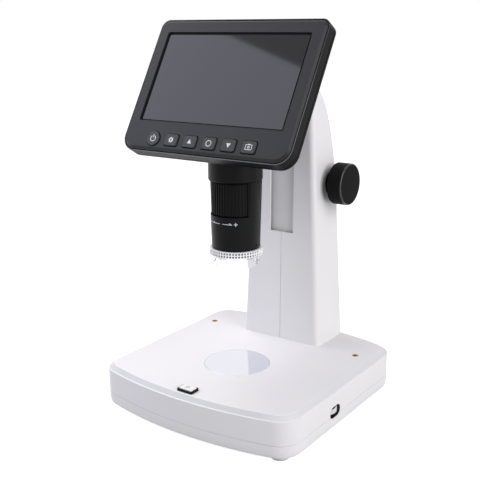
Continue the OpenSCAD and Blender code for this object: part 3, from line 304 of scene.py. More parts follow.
finishes = {
    "shell": paintedHollowShade(paintedStepShade(plastic("shellWhite", (0.80, 0.79, 0.80), 0.42, depth=0.000012, drift=0.01))),
    "rubber": plastic("footRubber", (0.78, 0.77, 0.76), 0.6, 900, 0.00005),
    "steel": metal("steel", (0.62, 0.63, 0.65), 0.32),
    "darkSteel": metal("darkSteel", (0.16, 0.165, 0.17), 0.4),
    "disc": moulded(Finish("discOpal", (0.76, 0.775, 0.85), 0.05, Metallic=0.65, IOR=2.2, Coat_Weight=1.0,
                           Coat_IOR=1.8, Coat_Roughness=0.03), 40, 0.000003, 0.02),
    "board": boardFinish("boardGreen", (0.02, 0.16, 0.06)),
    "brass": metal("brass", (0.42, 0.26, 0.07), 0.3),
    "trim": plastic("trimBlack", (0.006, 0.006, 0.007), 0.45, Specular_IOR_Level=0.12),
    "cap": plastic("capSilver", (0.84, 0.84, 0.85), 0.38),
    "dimmer": paintedHubShade(plastic("dimmerWhite", (0.78, 0.77, 0.77), 0.5)),
    "aluminium": metal("aluminium", (0.70, 0.71, 0.73), 0.36, (1, 1, 0.04)),
    "cover": plastic("coverGrey", (0.69, 0.69, 0.70), 0.5),
    "knob": polishedRimPaintedSide(plastic("knobBlack", (0.0055, 0.0055, 0.006), 0.42, 1300, 0.00003, Specular_IOR_Level=0.02)),
    "head": plastic("headBlack", (0.004, 0.004, 0.005), 0.5, Specular_IOR_Level=0.12),
    "tube": plastic("tubeBlack", (0.0035, 0.0038, 0.0042), 0.36, 1800, 0.00002, Specular_IOR_Level=0.1),
    "wheel": plastic("wheelRubber", (0.003, 0.0032, 0.003), 0.45, 1200, 0.00004, Specular_IOR_Level=0.1),
    "lens": moulded(Finish("lensGlass", (0.92, 0.95, 1.0), 0.03, IOR=1.6, Transmission_Weight=1.0,
                           Coat_Weight=1.0), 90, 0.000001, 0.02),
    "clear": moulded(Finish("clearPlastic", (0.97, 0.965, 0.97), 0.08, IOR=1.3, Transmission_Weight=0.9),
                     300, 0.00001, 0.05),
    "knurl": paintedPitShade(Finish("knurledClear", (1, 1, 1), 0.2, IOR=1.4)),
    "bezel": plastic("bezelBlack", (0.017, 0.0172, 0.0205), 0.36, 1500, 0.00004, Specular_IOR_Level=0.18),
    "rear": edgeShine(plastic("rearBlack", (0.009, 0.0092, 0.009), 0.38, 1500, 0.00002, Specular_IOR_Level=0.05)),
    "glass": moulded(Finish("screenGlass", (0.006, 0.006, 0.009), 0.05, IOR=1.42), 25, 0.000001, 0.03),
    "panel": plastic("panelDark", (0.03, 0.03, 0.035), 0.4),
    "wrap": plastic("batteryWrap", (0.55, 0.56, 0.58), 0.3),
    "key": plastic("keyBlack", (0.013, 0.0135, 0.016), 0.4, 1500, 0.00003, Specular_IOR_Level=0.3),
    "mark": plastic("markWhite", (0.68, 0.69, 0.71), 0.5, drift=0.0),
    "greyMark": plastic("markGrey", (0.25, 0.25, 0.26), 0.5, drift=0.0),
}
print("finishes ready")


# from here shapes are made in mm, and piece() turns them into metres; an edge is (width,
# segments, least turn), a rectangle (width, depth, corner radius), a hole (radius, low, high,
# chamfer), a block (low corner, high corner, edge) and a profile runs through (radius, height)
weldGap = 0.002
sharpTurn = 35
sides = (-1, 1)
corners = [(x, y) for x in sides for y in sides]


def tidy(shape):
    bmesh.ops.remove_doubles(shape, verts=shape.verts, dist=weldGap)
    bmesh.ops.recalc_face_normals(shape, faces=shape.faces)
    return shape


def placed(place, angle, axis):
    return Matrix.Translation(place) @ Matrix.Rotation(rad(angle), 4, axis)


def turned(shape, matrix):
    bmesh.ops.transform(shape, matrix=matrix, verts=shape.verts)
    return shape


def moved(shape, x=0, y=0, z=0):
    return turned(shape, Matrix.Translation((x, y, z)))


def onTube(shape):
    return moved(shape, y=stageY)


def everything(shape):
    return shape.verts[:] + shape.edges[:] + shape.faces[:]


def extruded(shape, offset):
    made = bmesh.ops.extrude_face_region(shape, geom=shape.faces[:])["geom"]
    bmesh.ops.translate(shape, vec=offset, verts=[v for v in made if isinstance(v, bmesh.types.BMVert)])
    return shape


def softened(shape, width, segments=3, over=30, where=None):
    # rounds the edges that turn by more than an angle
    shape.normal_update()
    edges = [e for e in shape.edges if e.is_manifold and e.calc_face_angle(0) > rad(over)
             and (where is None or where((e.verts[0].co + e.verts[1].co) / 2))]
    bmesh.ops.bevel(shape, geom=edges, offset=width, segments=segments, profile=0.5, affect="EDGES",
                    material=-1, clamp_overlap=True)
    return shape


def spun(profile, closed=False, steps=96, angle=360, start=0):
    # turns a profile of (radius, height) round Z
    shape = bmesh.new()
    points = [shape.verts.new((r, 0, z)) for r, z in profile]
    pairs = list(zip(points, points[1:])) + ([(points[-1], points[0])] if closed else [])
    geometry = points + [shape.edges.new(pair) for pair in pairs]
    if angle < 360:
        geometry.append(shape.faces.new(points))
    bmesh.ops.rotate(shape, verts=points, cent=(0, 0, 0), matrix=Matrix.Rotation(rad(start), 3, "Z"))
    bmesh.ops.spin(shape, geom=geometry, axis=(0, 0, 1), cent=(0, 0, 0), steps=steps,
                   angle=rad(angle), use_merge=angle == 360)
    return tidy(shape)


def plate(outline, low, high, segments=8):
    # flat shape with a radius at each (x, y, radius) corner
    shape = bmesh.new()
    points = [shape.verts.new((x, y, low)) for x, y, r in outline]
    shape.faces.new(points)
    for point, corner in zip(points, outline):
        if corner[2]:
            bmesh.ops.bevel(shape, geom=[point], offset=corner[2], segments=segments, profile=0.5,
                            affect="VERTICES", material=-1)
    return tidy(extruded(shape, (0, 0, high - low)))


def rectangle(w, h, r, x=0, y=0):
    return [(x + a * w / 2, y + b * h / 2, r) for a, b in ((-1, -1), (1, -1), (1, 1), (-1, 1))]


def block(low, high, edge=0):
    shape = bmesh.new()
    bmesh.ops.create_cube(shape, size=1)
    low, high = Vector(low), Vector(high)
    bmesh.ops.scale(shape, vec=high - low, verts=shape.verts)
    bmesh.ops.translate(shape, vec=(low + high) / 2, verts=shape.verts)
    return softened(shape, edge, 2) if edge else shape


def joined(*shapes):
    whole = bmesh.new()
    for shape in shapes:
        mesh = bpy.data.meshes.new("part")
        shape.to_mesh(mesh)
        whole.from_mesh(mesh)
        bpy.data.meshes.remove(mesh)
        shape.free()
    return whole


def scratch(shape):
    mesh = bpy.data.meshes.new("scratch")
    shape.to_mesh(mesh)
    shape.free()
    made = bpy.data.objects.new("scratch", mesh)
    bpy.context.scene.collection.objects.link(made)
    return made


def finished(shape, kind, *tools, **settings):
    # the shape after one modifier, which may use a second shape
    part = scratch(shape)
    change = part.modifiers.new("change", kind)
    helpers = [scratch(tool) for tool in tools]
    if helpers:
        change.object = helpers[0]
    for name, value in settings.items():
        setattr(change, name, value)
    result = bmesh.new()
    result.from_object(part, bpy.context.evaluated_depsgraph_get())
    for helper in [part, *helpers]:
        bpy.data.objects.remove(helper)
    return tidy(result)


def carved(shape, *tools):
    for tool in tools:
        shape = finished(shape, "BOOLEAN", tool, operation="DIFFERENCE", solver="EXACT")
    return shape


def split(shape, point, normal):
    # keeps what lies behind a plane, and leaves it open there
    bmesh.ops.bisect_plane(shape, geom=everything(shape), dist=0.0001, plane_co=point, plane_no=normal,
                           clear_outer=True)
    return shape


def around(make, count, start=0.0):
    return joined(*(turned(make(), Matrix.Rotation(rad(start + 360 * i / count), 4, "Z")) for i in range(count)))


def holeCutter(r, low, high, chamfer=0.0):
    # a round cutter that reaches 1 mm past its top, where it may widen
    top = [(r, high - chamfer), (r + chamfer, high), (r + chamfer, high + 1)] if chamfer else [(r, high + 1)]
    return spun([(0, low), (r, low), *top, (0, high + 1)], steps=64)


def flatRing(inner, outer, high=0.05, steps=40, angle=360, start=0):
    return spun([(inner, 0), (outer, 0), (outer, high), (inner, high)], True, steps, angle, start)


def piece(name, shape, finish, body, slot, stands=()):
    tidy(shape)
    bmesh.ops.scale(shape, vec=(mm, mm, mm), verts=shape.verts)
    for face in shape.faces:
        face.smooth = True
    mesh = bpy.data.meshes.new(name)
    shape.to_mesh(mesh)
    shape.free()
    mesh.set_sharp_from_angle(angle=rad(sharpTurn))
    mesh.materials.append(finishes[finish].material)
    made = bpy.data.objects.new(name, mesh)
    bpy.context.scene.collection.objects.link(made)
    normals = made.modifiers.new("normals", "WEIGHTED_NORMAL")
    normals.keep_sharp = True
    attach(made, body)
    if stands:
        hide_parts(*stands)
    return made


# the base's outline is a shallow bow at the front and back between straight sides
baseForm = {"bow": 270, "bowCentre": 188.8, "bowAngle": 14.01, "bowSteps": 10, "cornerX": 61.5,
            "cornerY": -57.642, "cornerSteps": 14, "side": 77.5, "split": 14.5, "seam": 0.05, "weld": 0.01}


def baseSlab(low, high, inset=0.0):
    # a quarter of the outline by spinning a point, then mirrored both ways
    b = baseForm
    shape = bmesh.new()
    end = shape.verts.new((0, b["bowCentre"] - b["bow"], low))
    for x, y, angle, steps in ((0, b["bowCentre"], b["bowAngle"], b["bowSteps"]),
                               (b["cornerX"], b["cornerY"], 90 - b["bowAngle"], b["cornerSteps"])):
        made = bmesh.ops.spin(shape, geom=[end], cent=(x, y, 0), axis=(0, 0, 1), angle=rad(angle), steps=steps)
        end = next(v for v in made["geom_last"] if isinstance(v, bmesh.types.BMVert))
    made = bmesh.ops.extrude_vert_indiv(shape, verts=[end])
    made["verts"][0].co = (b["side"], 0, low)
    for axis in "XY":
        bmesh.ops.mirror(shape, geom=shape.verts[:] + shape.edges[:], axis=axis, merge_dist=b["weld"])
    bmesh.ops.remove_doubles(shape, verts=shape.verts, dist=b["weld"])
    bmesh.ops.contextual_create(shape, geom=shape.edges[:])
    if inset:
        bmesh.ops.inset_region(shape, faces=shape.faces[:], thickness=inset, use_even_offset=True,
                               use_boundary=True)
        bmesh.ops.delete(shape, geom=[f for f in shape.faces if len(f.verts) == 4], context="FACES")
        bmesh.ops.delete(shape, geom=[v for v in shape.verts if not v.link_faces], context="VERTS")
    return tidy(extruded(shape, (0, 0, high - low)))


def stepped(shape, up, steps):
    # pulls the end face on in steps of (inset, rise)
    face = max(shape.faces, key=lambda f: f.calc_center_median().z * up)
    for inset, rise in steps:
        bmesh.ops.inset_region(shape, faces=[face], thickness=max(inset, 0.001), use_even_offset=True)
        bmesh.ops.translate(shape, vec=(0, 0, rise), verts=face.verts)
    return shape


discForm = {"profile": [(0, 31.7), (22.6, 31.7), (22.6, 33.32), (22.57, 33.35), (0, 33.35)], "steps": 128,
            "hole": (22.75, 31.7, 33.5, 0.25), "lightHole": (20.6, 27.5, 32.5)}
insertForm = {"profile": [(1.25, 26.5), (2.2, 26.5), (2.2, 33.4), (2.1, 33.5), (1.65, 33.5), (1.25, 33.1)],
              "steps": 48, "x": 62.3, "y": 40.6, "hole": (2.25, 22.5, 33.5, 0.2)}
buttonForm = {"y": -71.4, "hole": (12.3, 8.5, 1.25), "cut": (27, 38), "frame": (12.2, 8.4, 1.2),
              "frameInner": (10.5, 6.7, 0.9), "frameSpan": (30.5, 35), "frameEdge": (0.2, 3, 60),
              "cap": (10.2, 6.4, 0.8), "capSpan": (30.2, 35.7), "capEdge": (0.5, 3, 60),
              "sun": (0.75, 1.15, 0.04, 32), "ray": ((1.45, -0.14, 0), (2.0, 0.14, 0.04)), "rays": 8}
dimmerForm = {"profile": [(2.05, 0.5), (3.4, 0.5), (3.4, 0), (8.3, 0), (8.7, 0.3), (8.7, 3.1), (8.3, 3.4),
                          (3.4, 3.4), (3.4, 2.9), (2.05, 2.9)],
              "steps": 88, "low": 15.6, "rib": ((8.5, -0.27, 0.35), (9, 0.27, 3.05), 0.12), "ribs": 44,
              "start": 2, "hole": (8, 13.4, 3.99), "cut": (-8, 3), "holeSteps": 10}
socketForm = {"x": -45, "y": 60, "z": 20.5, "hole": (4.1, 0, 30)}
footForm = {"profile": [(0, 0), (4.6, 0), (5.6, 0.35), (6.2, 1.1), (6.5, 2.4), (6.5, 5.95), (4.98, 6), (4.98, 7),
                        (0, 7)],
            "steps": 48, "x": 63, "y": 59.25, "pocket": (5.02, 0, 6)}
upperForm = {"rimTop": 30.8, "steps": [(0.8, 0), (3.4, 2.7)], "edge": (0.35, 2, 25), "inside": (7.5, 30.5, 5.5)}
lowerForm = {"rim": 1, "belly": 6, "tuck": 1.2, "turn": 15, "edge": (0.3, 2, 50), "inside": (8.5, 17.5, 3.1),
             "screwX": 50.9, "screwY": 59.25, "screwHoles": ((2.8, 0, 8.2), (1.5, 0, 12))}


def dimmerHole():
    shape = plate(rectangle(*dimmerForm["hole"]), *dimmerForm["cut"], dimmerForm["holeSteps"])
    return turned(shape, placed((baseForm["side"], dimmerSeat["y"], dimmerSeat["z"]), 90, "Y"))


upper = baseSlab(baseForm["split"] + baseForm["seam"], upperForm["rimTop"])
stepped(upper, 1, upperForm["steps"])
softened(upper, *upperForm["edge"])
socketHole = turned(holeCutter(*socketForm["hole"]), Matrix.Rotation(rad(-90), 4, "X"))
upper = carved(
    upper,
    baseSlab(*upperForm["inside"]),
    moved(holeCutter(*discForm["hole"]), y=stageY),
    moved(holeCutter(*discForm["lightHole"]), y=stageY),
    moved(plate(rectangle(*buttonForm["hole"]), *buttonForm["cut"]), y=buttonForm["y"]),
    *(moved(holeCutter(*insertForm["hole"]), x * insertForm["x"], insertForm["y"]) for x in sides),
    dimmerHole(),
    moved(socketHole, socketForm["x"], socketForm["y"], socketForm["z"]))
piece("baseUpperShell", upper, "shell", "stand", "white_shell", ["base_top_shell"])

lower = baseSlab(baseForm["split"] - lowerForm["rim"], baseForm["split"] - baseForm["seam"])
drop = baseForm["split"] - lowerForm["rim"] - lowerForm["belly"]
turns = [(rad(t - lowerForm["turn"]), rad(t)) for t in range(lowerForm["turn"], 91, lowerForm["turn"])]
stepped(lower, -1, [(lowerForm["tuck"] * (math.cos(a) - math.cos(b)), -drop * (math.sin(b) - math.sin(a)))
                    for a, b in turns])
softened(lower, *lowerForm["edge"])
lower = carved(
    lower,
    baseSlab(*lowerForm["inside"]),
    dimmerHole(),
    *(moved(holeCutter(*hole), x * lowerForm["screwX"], y * lowerForm["screwY"])
      for x, y in corners for hole in lowerForm["screwHoles"]),
    *(moved(holeCutter(*footForm["pocket"]), x * footForm["x"], y * footForm["y"]) for x, y in corners))
piece("baseLowerShell", lower, "shell", "stand", "white_shell", ["base_bottom_shell"])

feet = [moved(spun(footForm["profile"], steps=footForm["steps"]), x * footForm["x"], y * footForm["y"])
        for x, y in corners]
piece("rubberFeet", joined(*feet), "rubber", "stand", "foot_rubber", ["rubber_feet"])

disc = moved(spun(discForm["profile"], steps=discForm["steps"]), y=stageY)
piece("stageDisc", disc, "disc", "stand", "opal_disc", ["stage_disc"])

inserts = [moved(spun(insertForm["profile"], True, insertForm["steps"]), x * insertForm["x"], insertForm["y"])
           for x in sides]
piece("clipInserts", joined(*inserts), "brass", "stand", "brass", ["clip_inserts"])

buttonFrame = plate(rectangle(*buttonForm["frame"]), *buttonForm["frameSpan"])
softened(buttonFrame, *buttonForm["frameEdge"])
buttonFrame = carved(buttonFrame, plate(rectangle(*buttonForm["frameInner"]), *buttonForm["cut"]))
piece("buttonFrame", moved(buttonFrame, y=buttonForm["y"]), "trim", "stand", "black_trim", ["light_button_frame"])
buttonCap = softened(plate(rectangle(*buttonForm["cap"]), *buttonForm["capSpan"]), *buttonForm["capEdge"])
piece("buttonCap", moved(buttonCap, y=buttonForm["y"]), "cap", "light_switch_button", "silver_cap",
      ["light_button"])
sun = joined(flatRing(*buttonForm["sun"]), around(lambda: block(*buttonForm["ray"]), buttonForm["rays"]))
piece("buttonMark", moved(sun, 0, buttonForm["y"], buttonForm["capSpan"][1]), "greyMark", "light_switch_button",
      "black_trim")

dimmerRibs = around(lambda: block(*dimmerForm["rib"]), dimmerForm["ribs"], dimmerForm["start"])
dimmerWheel = joined(spun(dimmerForm["profile"], True, dimmerForm["steps"]), dimmerRibs)
piece("dimmerWheel", moved(dimmerWheel, dimmerSeat["x"], dimmerSeat["y"], dimmerForm["low"]), "dimmer", "dimmer",
      "dimmer_plastic", ["dimmer_wheel"])
print("base ready")


# the column narrows and leans back as it rises, and its back is an arch
columnForm = {"front": 38.7, "lean": 2.8, "low": 25.5, "foot": 33.5, "top": 219.5, "half": 33, "topHalf": 23.6,
              "back": 76.1, "archY": 48.3, "archZ": 128.5, "archD": 26.3, "archH": 91, "archStep": 3,
              "edge": (4.2, 6, 20), "wall": 1.8, "gap": 0.14, "slot": ((-10, 30, 115.3), (10, 55, 200.5)),
              "shaftHole": (3.6, -40, 40)}


def columnRise(z):
    return (z - columnForm["foot"]) / (columnForm["top"] - columnForm["foot"])


def columnBody():
    c = columnForm
    side = [(c["front"] + c["lean"] * columnRise(z), z) for z in (c["low"], c["top"])]
    side += [(c["archY"] + c["archD"] * math.cos(rad(t)), c["archZ"] + c["archH"] * math.sin(rad(t)))
             for t in range(90, -1, -c["archStep"])]
    side.append((c["back"], c["low"]))
    shape = bmesh.new()
    shape.faces.new([shape.verts.new((-1, y, z)) for y, z in side])
    extruded(shape, (2, 0, 0))
    for v in shape.verts:
        v.co.x *= c["half"] - (c["half"] - c["topHalf"]) * columnRise(v.co.z)
    return softened(tidy(shape), *c["edge"])


def columnShell(side):
    c = columnForm
    shape = split(columnBody(), (0, 0, c["foot"]), (0, 0, -1))
    shape = split(shape, (side * c["gap"], 0, 0), (-side, 0, 0))
    shape = finished(shape, "SOLIDIFY", thickness=c["wall"], offset=-1, use_even_offset=True)
    shaft = turned(holeCutter(*c["shaftHole"]), placed((0, knobSeat["y"], knobSeat["z"]), 90, "Y"))
    return carved(shape, block(*c["slot"]), shaft)


piece("columnLeft", columnShell(-1), "shell", "stand", "white_shell", ["column_left_shell"])
piece("columnRight", columnShell(1), "shell", "stand", "white_shell", ["column_right_shell"])

coverForm = {"plate": ((-12.5, 43.3, 103.3), (12.5, 44.5, 202.5), 0.3),
             "hole": ((-9.6, 40, 181.4), (9.6, 50, 193.6))}
cover = carved(block(*coverForm["plate"]), block(*coverForm["hole"]))
piece("slotCover", cover, "cover", "head", "cover_plastic", ["slot_cover"])

knobForm = {"profile": [(3.05, 27.86), (8.6, 27.86), (9, 28.2), (9, 32.2), (14.2, 32.2), (14.7, 32.4),
                        (14.9, 32.9), (14.9, 42.6), (14.78, 43), (14.5, 43.3), (14, 43.5), (0, 43.5), (0, 41.5),
                        (3.05, 41.5)],
            "steps": 128}


def knob(side):
    shape = spun(knobForm["profile"], True, knobForm["steps"])
    return turned(shape, placed((0, knobSeat["y"], knobSeat["z"]), side * 90, "Y"))


piece("leftKnob", knob(-1), "knob", "focus_knobs", "knob_black", ["left_knob"])
piece("rightKnob", knob(1), "knob", "focus_knobs", "knob_black", ["right_knob"])
print("column ready")


# the tube's pieces are turned round the optical axis
collarForm = {"profile": [(14.8, 163.5), (17.6, 163.5), (18, 163.9), (18, 181.5), (11.7, 181.5), (11.7, 179.5),
                          (14.8, 179.5)],
              "steps": 128}
collar = onTube(spun(collarForm["profile"], True, collarForm["steps"]))
piece("tubeCollar", collar, "tube", "head", "tube_black", ["tube_collar"])

# the barrel widens upwards, and the sides of its window, each (radius, angle), flare outwards
barrelForm = {"low": 117.5, "high": 163.5, "bottom": 16.2, "top": 17.6,
              "foot": [(14.2, 117.5), (15.7, 117.5), (16.2, 117.8)], "straight": 163.2,
              "head": [(17.2, 163.48), (14.2, 163.48)],
              "pocket": [(10, 140.8), (16.25, 140.8), (16.25, 162.7), (10, 162.7)], "window": (140.5, 163.1),
              "inner": (15.9, 62.6), "outer": (17.3, 70), "flare": (3, 1), "beyond": (20, -24),
              "steps": 128, "screwZ": 120.5, "screwHole": (0.95, 10, 30)}


def barrelRadius(z):
    b = barrelForm
    return b["bottom"] + (b["top"] - b["bottom"]) * (z - b["low"]) / (b["high"] - b["low"])


def wheelWindow():
    b = barrelForm
    inner, outer = ((r * math.sin(rad(turn)), -r * math.cos(rad(turn))) for r, turn in (b["inner"], b["outer"]))
    half = [inner, outer, (outer[0] + b["flare"][0], outer[1] - b["flare"][1]), b["beyond"]]
    outline = [(-x, y, 0) for x, y in half] + [(x, y, 0) for x, y in reversed(half)] + [(0, 0, 0)]
    return plate(outline, *b["window"])


def barrelBody():
    b = barrelForm
    profile = [*b["foot"], (barrelRadius(b["straight"]), b["straight"]), *b["head"]]
    screwHoles = [turned(holeCutter(*b["screwHole"]), placed((0, 0, b["screwZ"]), side * 90, "Y"))
                  for side in sides]
    barrel, pocket = (spun(points, True, b["steps"]) for points in (profile, b["pocket"]))
    return carved(barrel, pocket, wheelWindow(), *screwHoles)


piece("tubeBarrel", onTube(barrelBody()), "tube", "head", "tube_black", ["tube_barrel"])

wheelForm = {"profile": [(14.25, 141.1), (15.3, 141.1), (15.6, 141.4), (15.6, 162.2), (15.3, 162.5),
                         (14.25, 162.5)],
             "steps": 96, "rib": ((15.2, -0.5, 141.6), (16.1, 0.5, 162), 0.28), "ribs": 48}
wheelRibs = around(lambda: block(*wheelForm["rib"]), wheelForm["ribs"])
wheel = joined(spun(wheelForm["profile"], True, wheelForm["steps"]), wheelRibs)
piece("magnificationWheel", onTube(wheel), "wheel", "zoom_wheel", "wheel_rubber", ["magnification_wheel"])

# two tapering arrows, with a plus sign after the right one and a minus sign before the left one
markForm = {"z": 136.3, "span": (-0.05, 0.05), "bar": (2.5, 0.5, 0), "upright": (0.5, 2.5, 0), "signX": 10.3,
            "arrow": [(0.85, -0.2), (7.9, -0.5), (8, -0.25), (6, 1.0), (5.8, 0.85), (6.4, 0.1), (0.85, 0.1)],
            "cuts": 16, "spacing": 0.8}


def wrapped(shape):
    # bends a flat mark (across, up, out) round the barrel
    for cut in range(-markForm["cuts"], markForm["cuts"] + 1):
        bmesh.ops.bisect_plane(shape, geom=everything(shape), plane_co=(cut * markForm["spacing"], 0, 0),
                               plane_no=(1, 0, 0))
    z = markForm["z"]
    for v in shape.verts:
        r = barrelRadius(z + v.co.y) + v.co.z
        turn = v.co.x / barrelRadius(z)
        v.co = (r * math.sin(turn), -r * math.cos(turn), z + v.co.y)
    return shape


outlines = [[(x, y, 0) for x, y in markForm["arrow"]], [(-x, y, 0) for x, y in reversed(markForm["arrow"])],
            rectangle(*markForm["bar"], markForm["signX"]), rectangle(*markForm["upright"], markForm["signX"]),
            rectangle(*markForm["bar"], -markForm["signX"])]
marks = joined(*(wrapped(plate(outline, *markForm["span"])) for outline in outlines))
piece("tubeMarks", onTube(marks), "mark", "head", "tube_black")

ringForm = {"profile": [(12.6, 113.35), (14.15, 113.35), (17.1, 113.35), (17.35, 113.6), (17.35, 117.2),
                        (17.1, 117.45), (14.15, 117.45), (14.15, 122.5), (12.6, 122.5)],
            "steps": 112, "rib": ((17.1, -0.45, 113.45), (18.1, 0.45, 117.4), 0.2), "ribs": 56,
            "bands": ((113.45, 0.4), (115.1, 0.65), (117, 0.4)), "band": (17.1, 17.95)}
ringRibs = around(lambda: block(*ringForm["rib"]), ringForm["ribs"])
ringBands = [moved(flatRing(*ringForm["band"], high, ringForm["steps"]), z=z) for z, high in ringForm["bands"]]
noseRing = onTube(joined(spun(ringForm["profile"], True, ringForm["steps"]), ringRibs, *ringBands))
piece("noseRing", noseRing, "knurl", "head", "clear_plastic", ["nose_ring"])

hoodForm = {"profile": [(13.4, 105.7), (14.5, 105.7), (14.8, 106), (14.8, 112.1), (16, 112.1), (16, 113.3),
                        (13.4, 113.3)],
            "steps": 112, "hook": ((14.4, -1.6, 107.3), (16, 1.6, 113.3), 0.3), "hooks": 2, "start": 35.6}
hooks = around(lambda: block(*hoodForm["hook"]), hoodForm["hooks"], hoodForm["start"])
noseHood = onTube(joined(spun(hoodForm["profile"], True, hoodForm["steps"]), hooks))
piece("noseHood", noseHood, "clear", "head", "clear_plastic", ["nose_hood"])
print("tube ready")


# the monitor's shapes have X across, Y up the screen and Z out of its front
monitorForm = {"half": 64.9, "above": 42.3, "below": 52.7, "topR": 6, "bottomR": 10.5, "cornerSteps": 10}


def monitorPiece(name, shape, *rest):
    seat = placed((0, monitorSeat["y"], monitorSeat["z"]), monitorSeat["tilt"], "X")
    return piece(name, turned(shape, seat), *rest)


def monitorSlab(low, high, inset=0.0):
    m = monitorForm
    half, above, below = m["half"] - inset, m["above"] - inset, m["below"] - inset
    topR, bottomR = m["topR"] - inset, m["bottomR"] - inset
    return plate([(-half, -below, bottomR), (half, -below, bottomR), (half, above, topR), (-half, above, topR)],
                 low, high, m["cornerSteps"])


# the power key comes first and is round; a slab is (low, high, inset) and a span (low, high)
keyForm = {"names": ["power", "menu", "up", "select", "down", "capture"],
           "x": (-38.08, -23.25, -8.42, 6.42, 21.25, 36.08), "y": -44.1, "cap": (10.1, 7.8, 1.35),
           "flange": (11.4, 9.9, 1.8), "hole": (11.1, 8.8, 1.65), "powerCap": (9.8, 9.8, 4.89),
           "powerFlange": (11, 11, 5.4), "powerHole": (5.35, -4, 2), "capSpan": (-1.85, 0.8),
           "flangeSpan": (-2.75, -1.85), "edge": (0.45, 3, 60), "edgeFrom": 0.7}
bezelForm = {"slab": (-2.0, -1.75, 1.15), "step": (1.6, 1.75), "edge": (0.2, 2, 20),
             "opening": (111.2, 64.2, 1.4), "openingSpan": (-1.8, 2), "window": (108.4, 61.7, 0.5),
             "through": (-4, 2)}

bezel = monitorSlab(*bezelForm["slab"])
stepped(bezel, 1, [bezelForm["step"]])
softened(bezel, *bezelForm["edge"])
powerX, *squareX = keyForm["x"]
bezelHoles = [plate(rectangle(*bezelForm["opening"]), *bezelForm["openingSpan"]),
              plate(rectangle(*bezelForm["window"]), *bezelForm["through"]),
              moved(holeCutter(*keyForm["powerHole"]), powerX, keyForm["y"]),
              *(plate(rectangle(*keyForm["hole"], x, keyForm["y"]), *bezelForm["through"]) for x in squareX)]
monitorPiece("monitorBezel", carved(bezel, *bezelHoles), "bezel", "head", "bezel_black", ["monitor_bezel"])

# each side socket is (low edge, width, height)
rearForm = {"slab": (-11.5, -1.75), "backEdge": (1.2, 4, 60), "backFrom": -11, "frontEdge": (0.12, 2, 60),
            "frontFrom": -2.5, "bulge": (102.8, 81.5, 9), "bulgeSpan": (-11.5, -11.1),
            "bulgeSteps": [(1.2, -2.8), (3.3, -5.7)], "bulgeEdge": (1.2, 3, 35), "bulgeY": -5.2,
            "inside": (-9.5, -2.2, 2), "lip": (-2.3, 1, 0.6), "groove": (-8.6, -8.1, -1),
            "grooveFloor": (-10, -7, 0.6), "sockets": ((10, 8, 3.2), (-4, 8, 3.2), (-20, 12, 1.8)),
            "socketX": (-70, -60), "socketZ": (-7.5, -7.3)}
rear = monitorSlab(*rearForm["slab"])
softened(rear, *rearForm["backEdge"], lambda p: p.z < rearForm["backFrom"])
softened(rear, *rearForm["frontEdge"], lambda p: p.z > rearForm["frontFrom"])
bulge = plate(rectangle(*rearForm["bulge"]), *rearForm["bulgeSpan"])
stepped(bulge, -1, rearForm["bulgeSteps"])
softened(bulge, *rearForm["bulgeEdge"])
rear = finished(rear, "BOOLEAN", moved(bulge, y=rearForm["bulgeY"]), operation="UNION", solver="EXACT")
(socketLeft, socketRight), (socketLow, socketTop) = rearForm["socketX"], rearForm["socketZ"]
rear = carved(
    rear, monitorSlab(*rearForm["inside"]), monitorSlab(*rearForm["lip"]),
    carved(monitorSlab(*rearForm["groove"]), monitorSlab(*rearForm["grooveFloor"])),
    *(block((socketLeft, low, socketLow), (socketRight, low + w, socketTop + h))
      for low, w, h in rearForm["sockets"]))
monitorPiece("monitorRear", rear, "rear", "head", "bezel_black", ["monitor_rear_shell"])

glassForm = {"flange": (115, 66.3, 1.5), "flangeSpan": (-2.9, -1.87), "pane": (108.2, 61.5, 0.5),
             "paneSpan": (-2, -1.2), "edge": (0.15, 2, 60)}
pane = softened(plate(rectangle(*glassForm["pane"]), *glassForm["paneSpan"]), *glassForm["edge"])
screen = joined(plate(rectangle(*glassForm["flange"]), *glassForm["flangeSpan"]), pane)
monitorPiece("screenGlass", screen, "glass", "head", "screen_glass", ["screen_window"])


def keyBody(i):
    cap, flange, segments = ("cap", "flange", 8) if i else ("powerCap", "powerFlange", 16)
    top = plate(rectangle(*keyForm[cap]), *keyForm["capSpan"], segments)
    softened(top, *keyForm["edge"], lambda p: p.z > keyForm["edgeFrom"])
    bottom = plate(rectangle(*keyForm[flange]), *keyForm["flangeSpan"], segments)
    return moved(joined(top, bottom), keyForm["x"][i], keyForm["y"])


# each mark is a flat sign: rings are (inner, outer), a triangle is (half width, foot, point)
signForm = {"high": 0.05, "power": (1.65, 2.2), "powerTurn": (290, 125),
            "powerBar": ((-0.28, 0.5, 0), (0.28, 2.75, 0.05)),
            "gear": (0.7, 1.55), "tooth": ((1.4, -0.33, 0), (1.85, 0.33, 0.05)), "teeth": 8, "ring": (1.6, 2.1),
            "triangle": (1.6, 1.3, 1.6), "camera": (4.9, 3.5, 0.4), "cameraInner": (4.1, 2.7, 0.2),
            "cameraLens": (0.4, 0.85), "cameraTop": ((-0.9, 1.75, 0), (0.9, 2.1, 0.05))}


def powerMark():
    angle, start = signForm["powerTurn"]
    return joined(flatRing(*signForm["power"], angle=angle, start=start), block(*signForm["powerBar"]))


def gearMark():
    return joined(flatRing(*signForm["gear"]), around(lambda: block(*signForm["tooth"]), signForm["teeth"]))


def triangleMark(up):
    half, foot, point = signForm["triangle"]
    return plate([(-half, -foot * up, 0), (half, -foot * up, 0), (0, point * up, 0)][::up], 0, signForm["high"])


def cameraMark():
    outer, inner = rectangle(*signForm["camera"]), rectangle(*signForm["cameraInner"])
    outer = carved(plate(outer, 0, signForm["high"]), plate(inner, -1, 1))
    return joined(outer, flatRing(*signForm["cameraLens"]), block(*signForm["cameraTop"]))


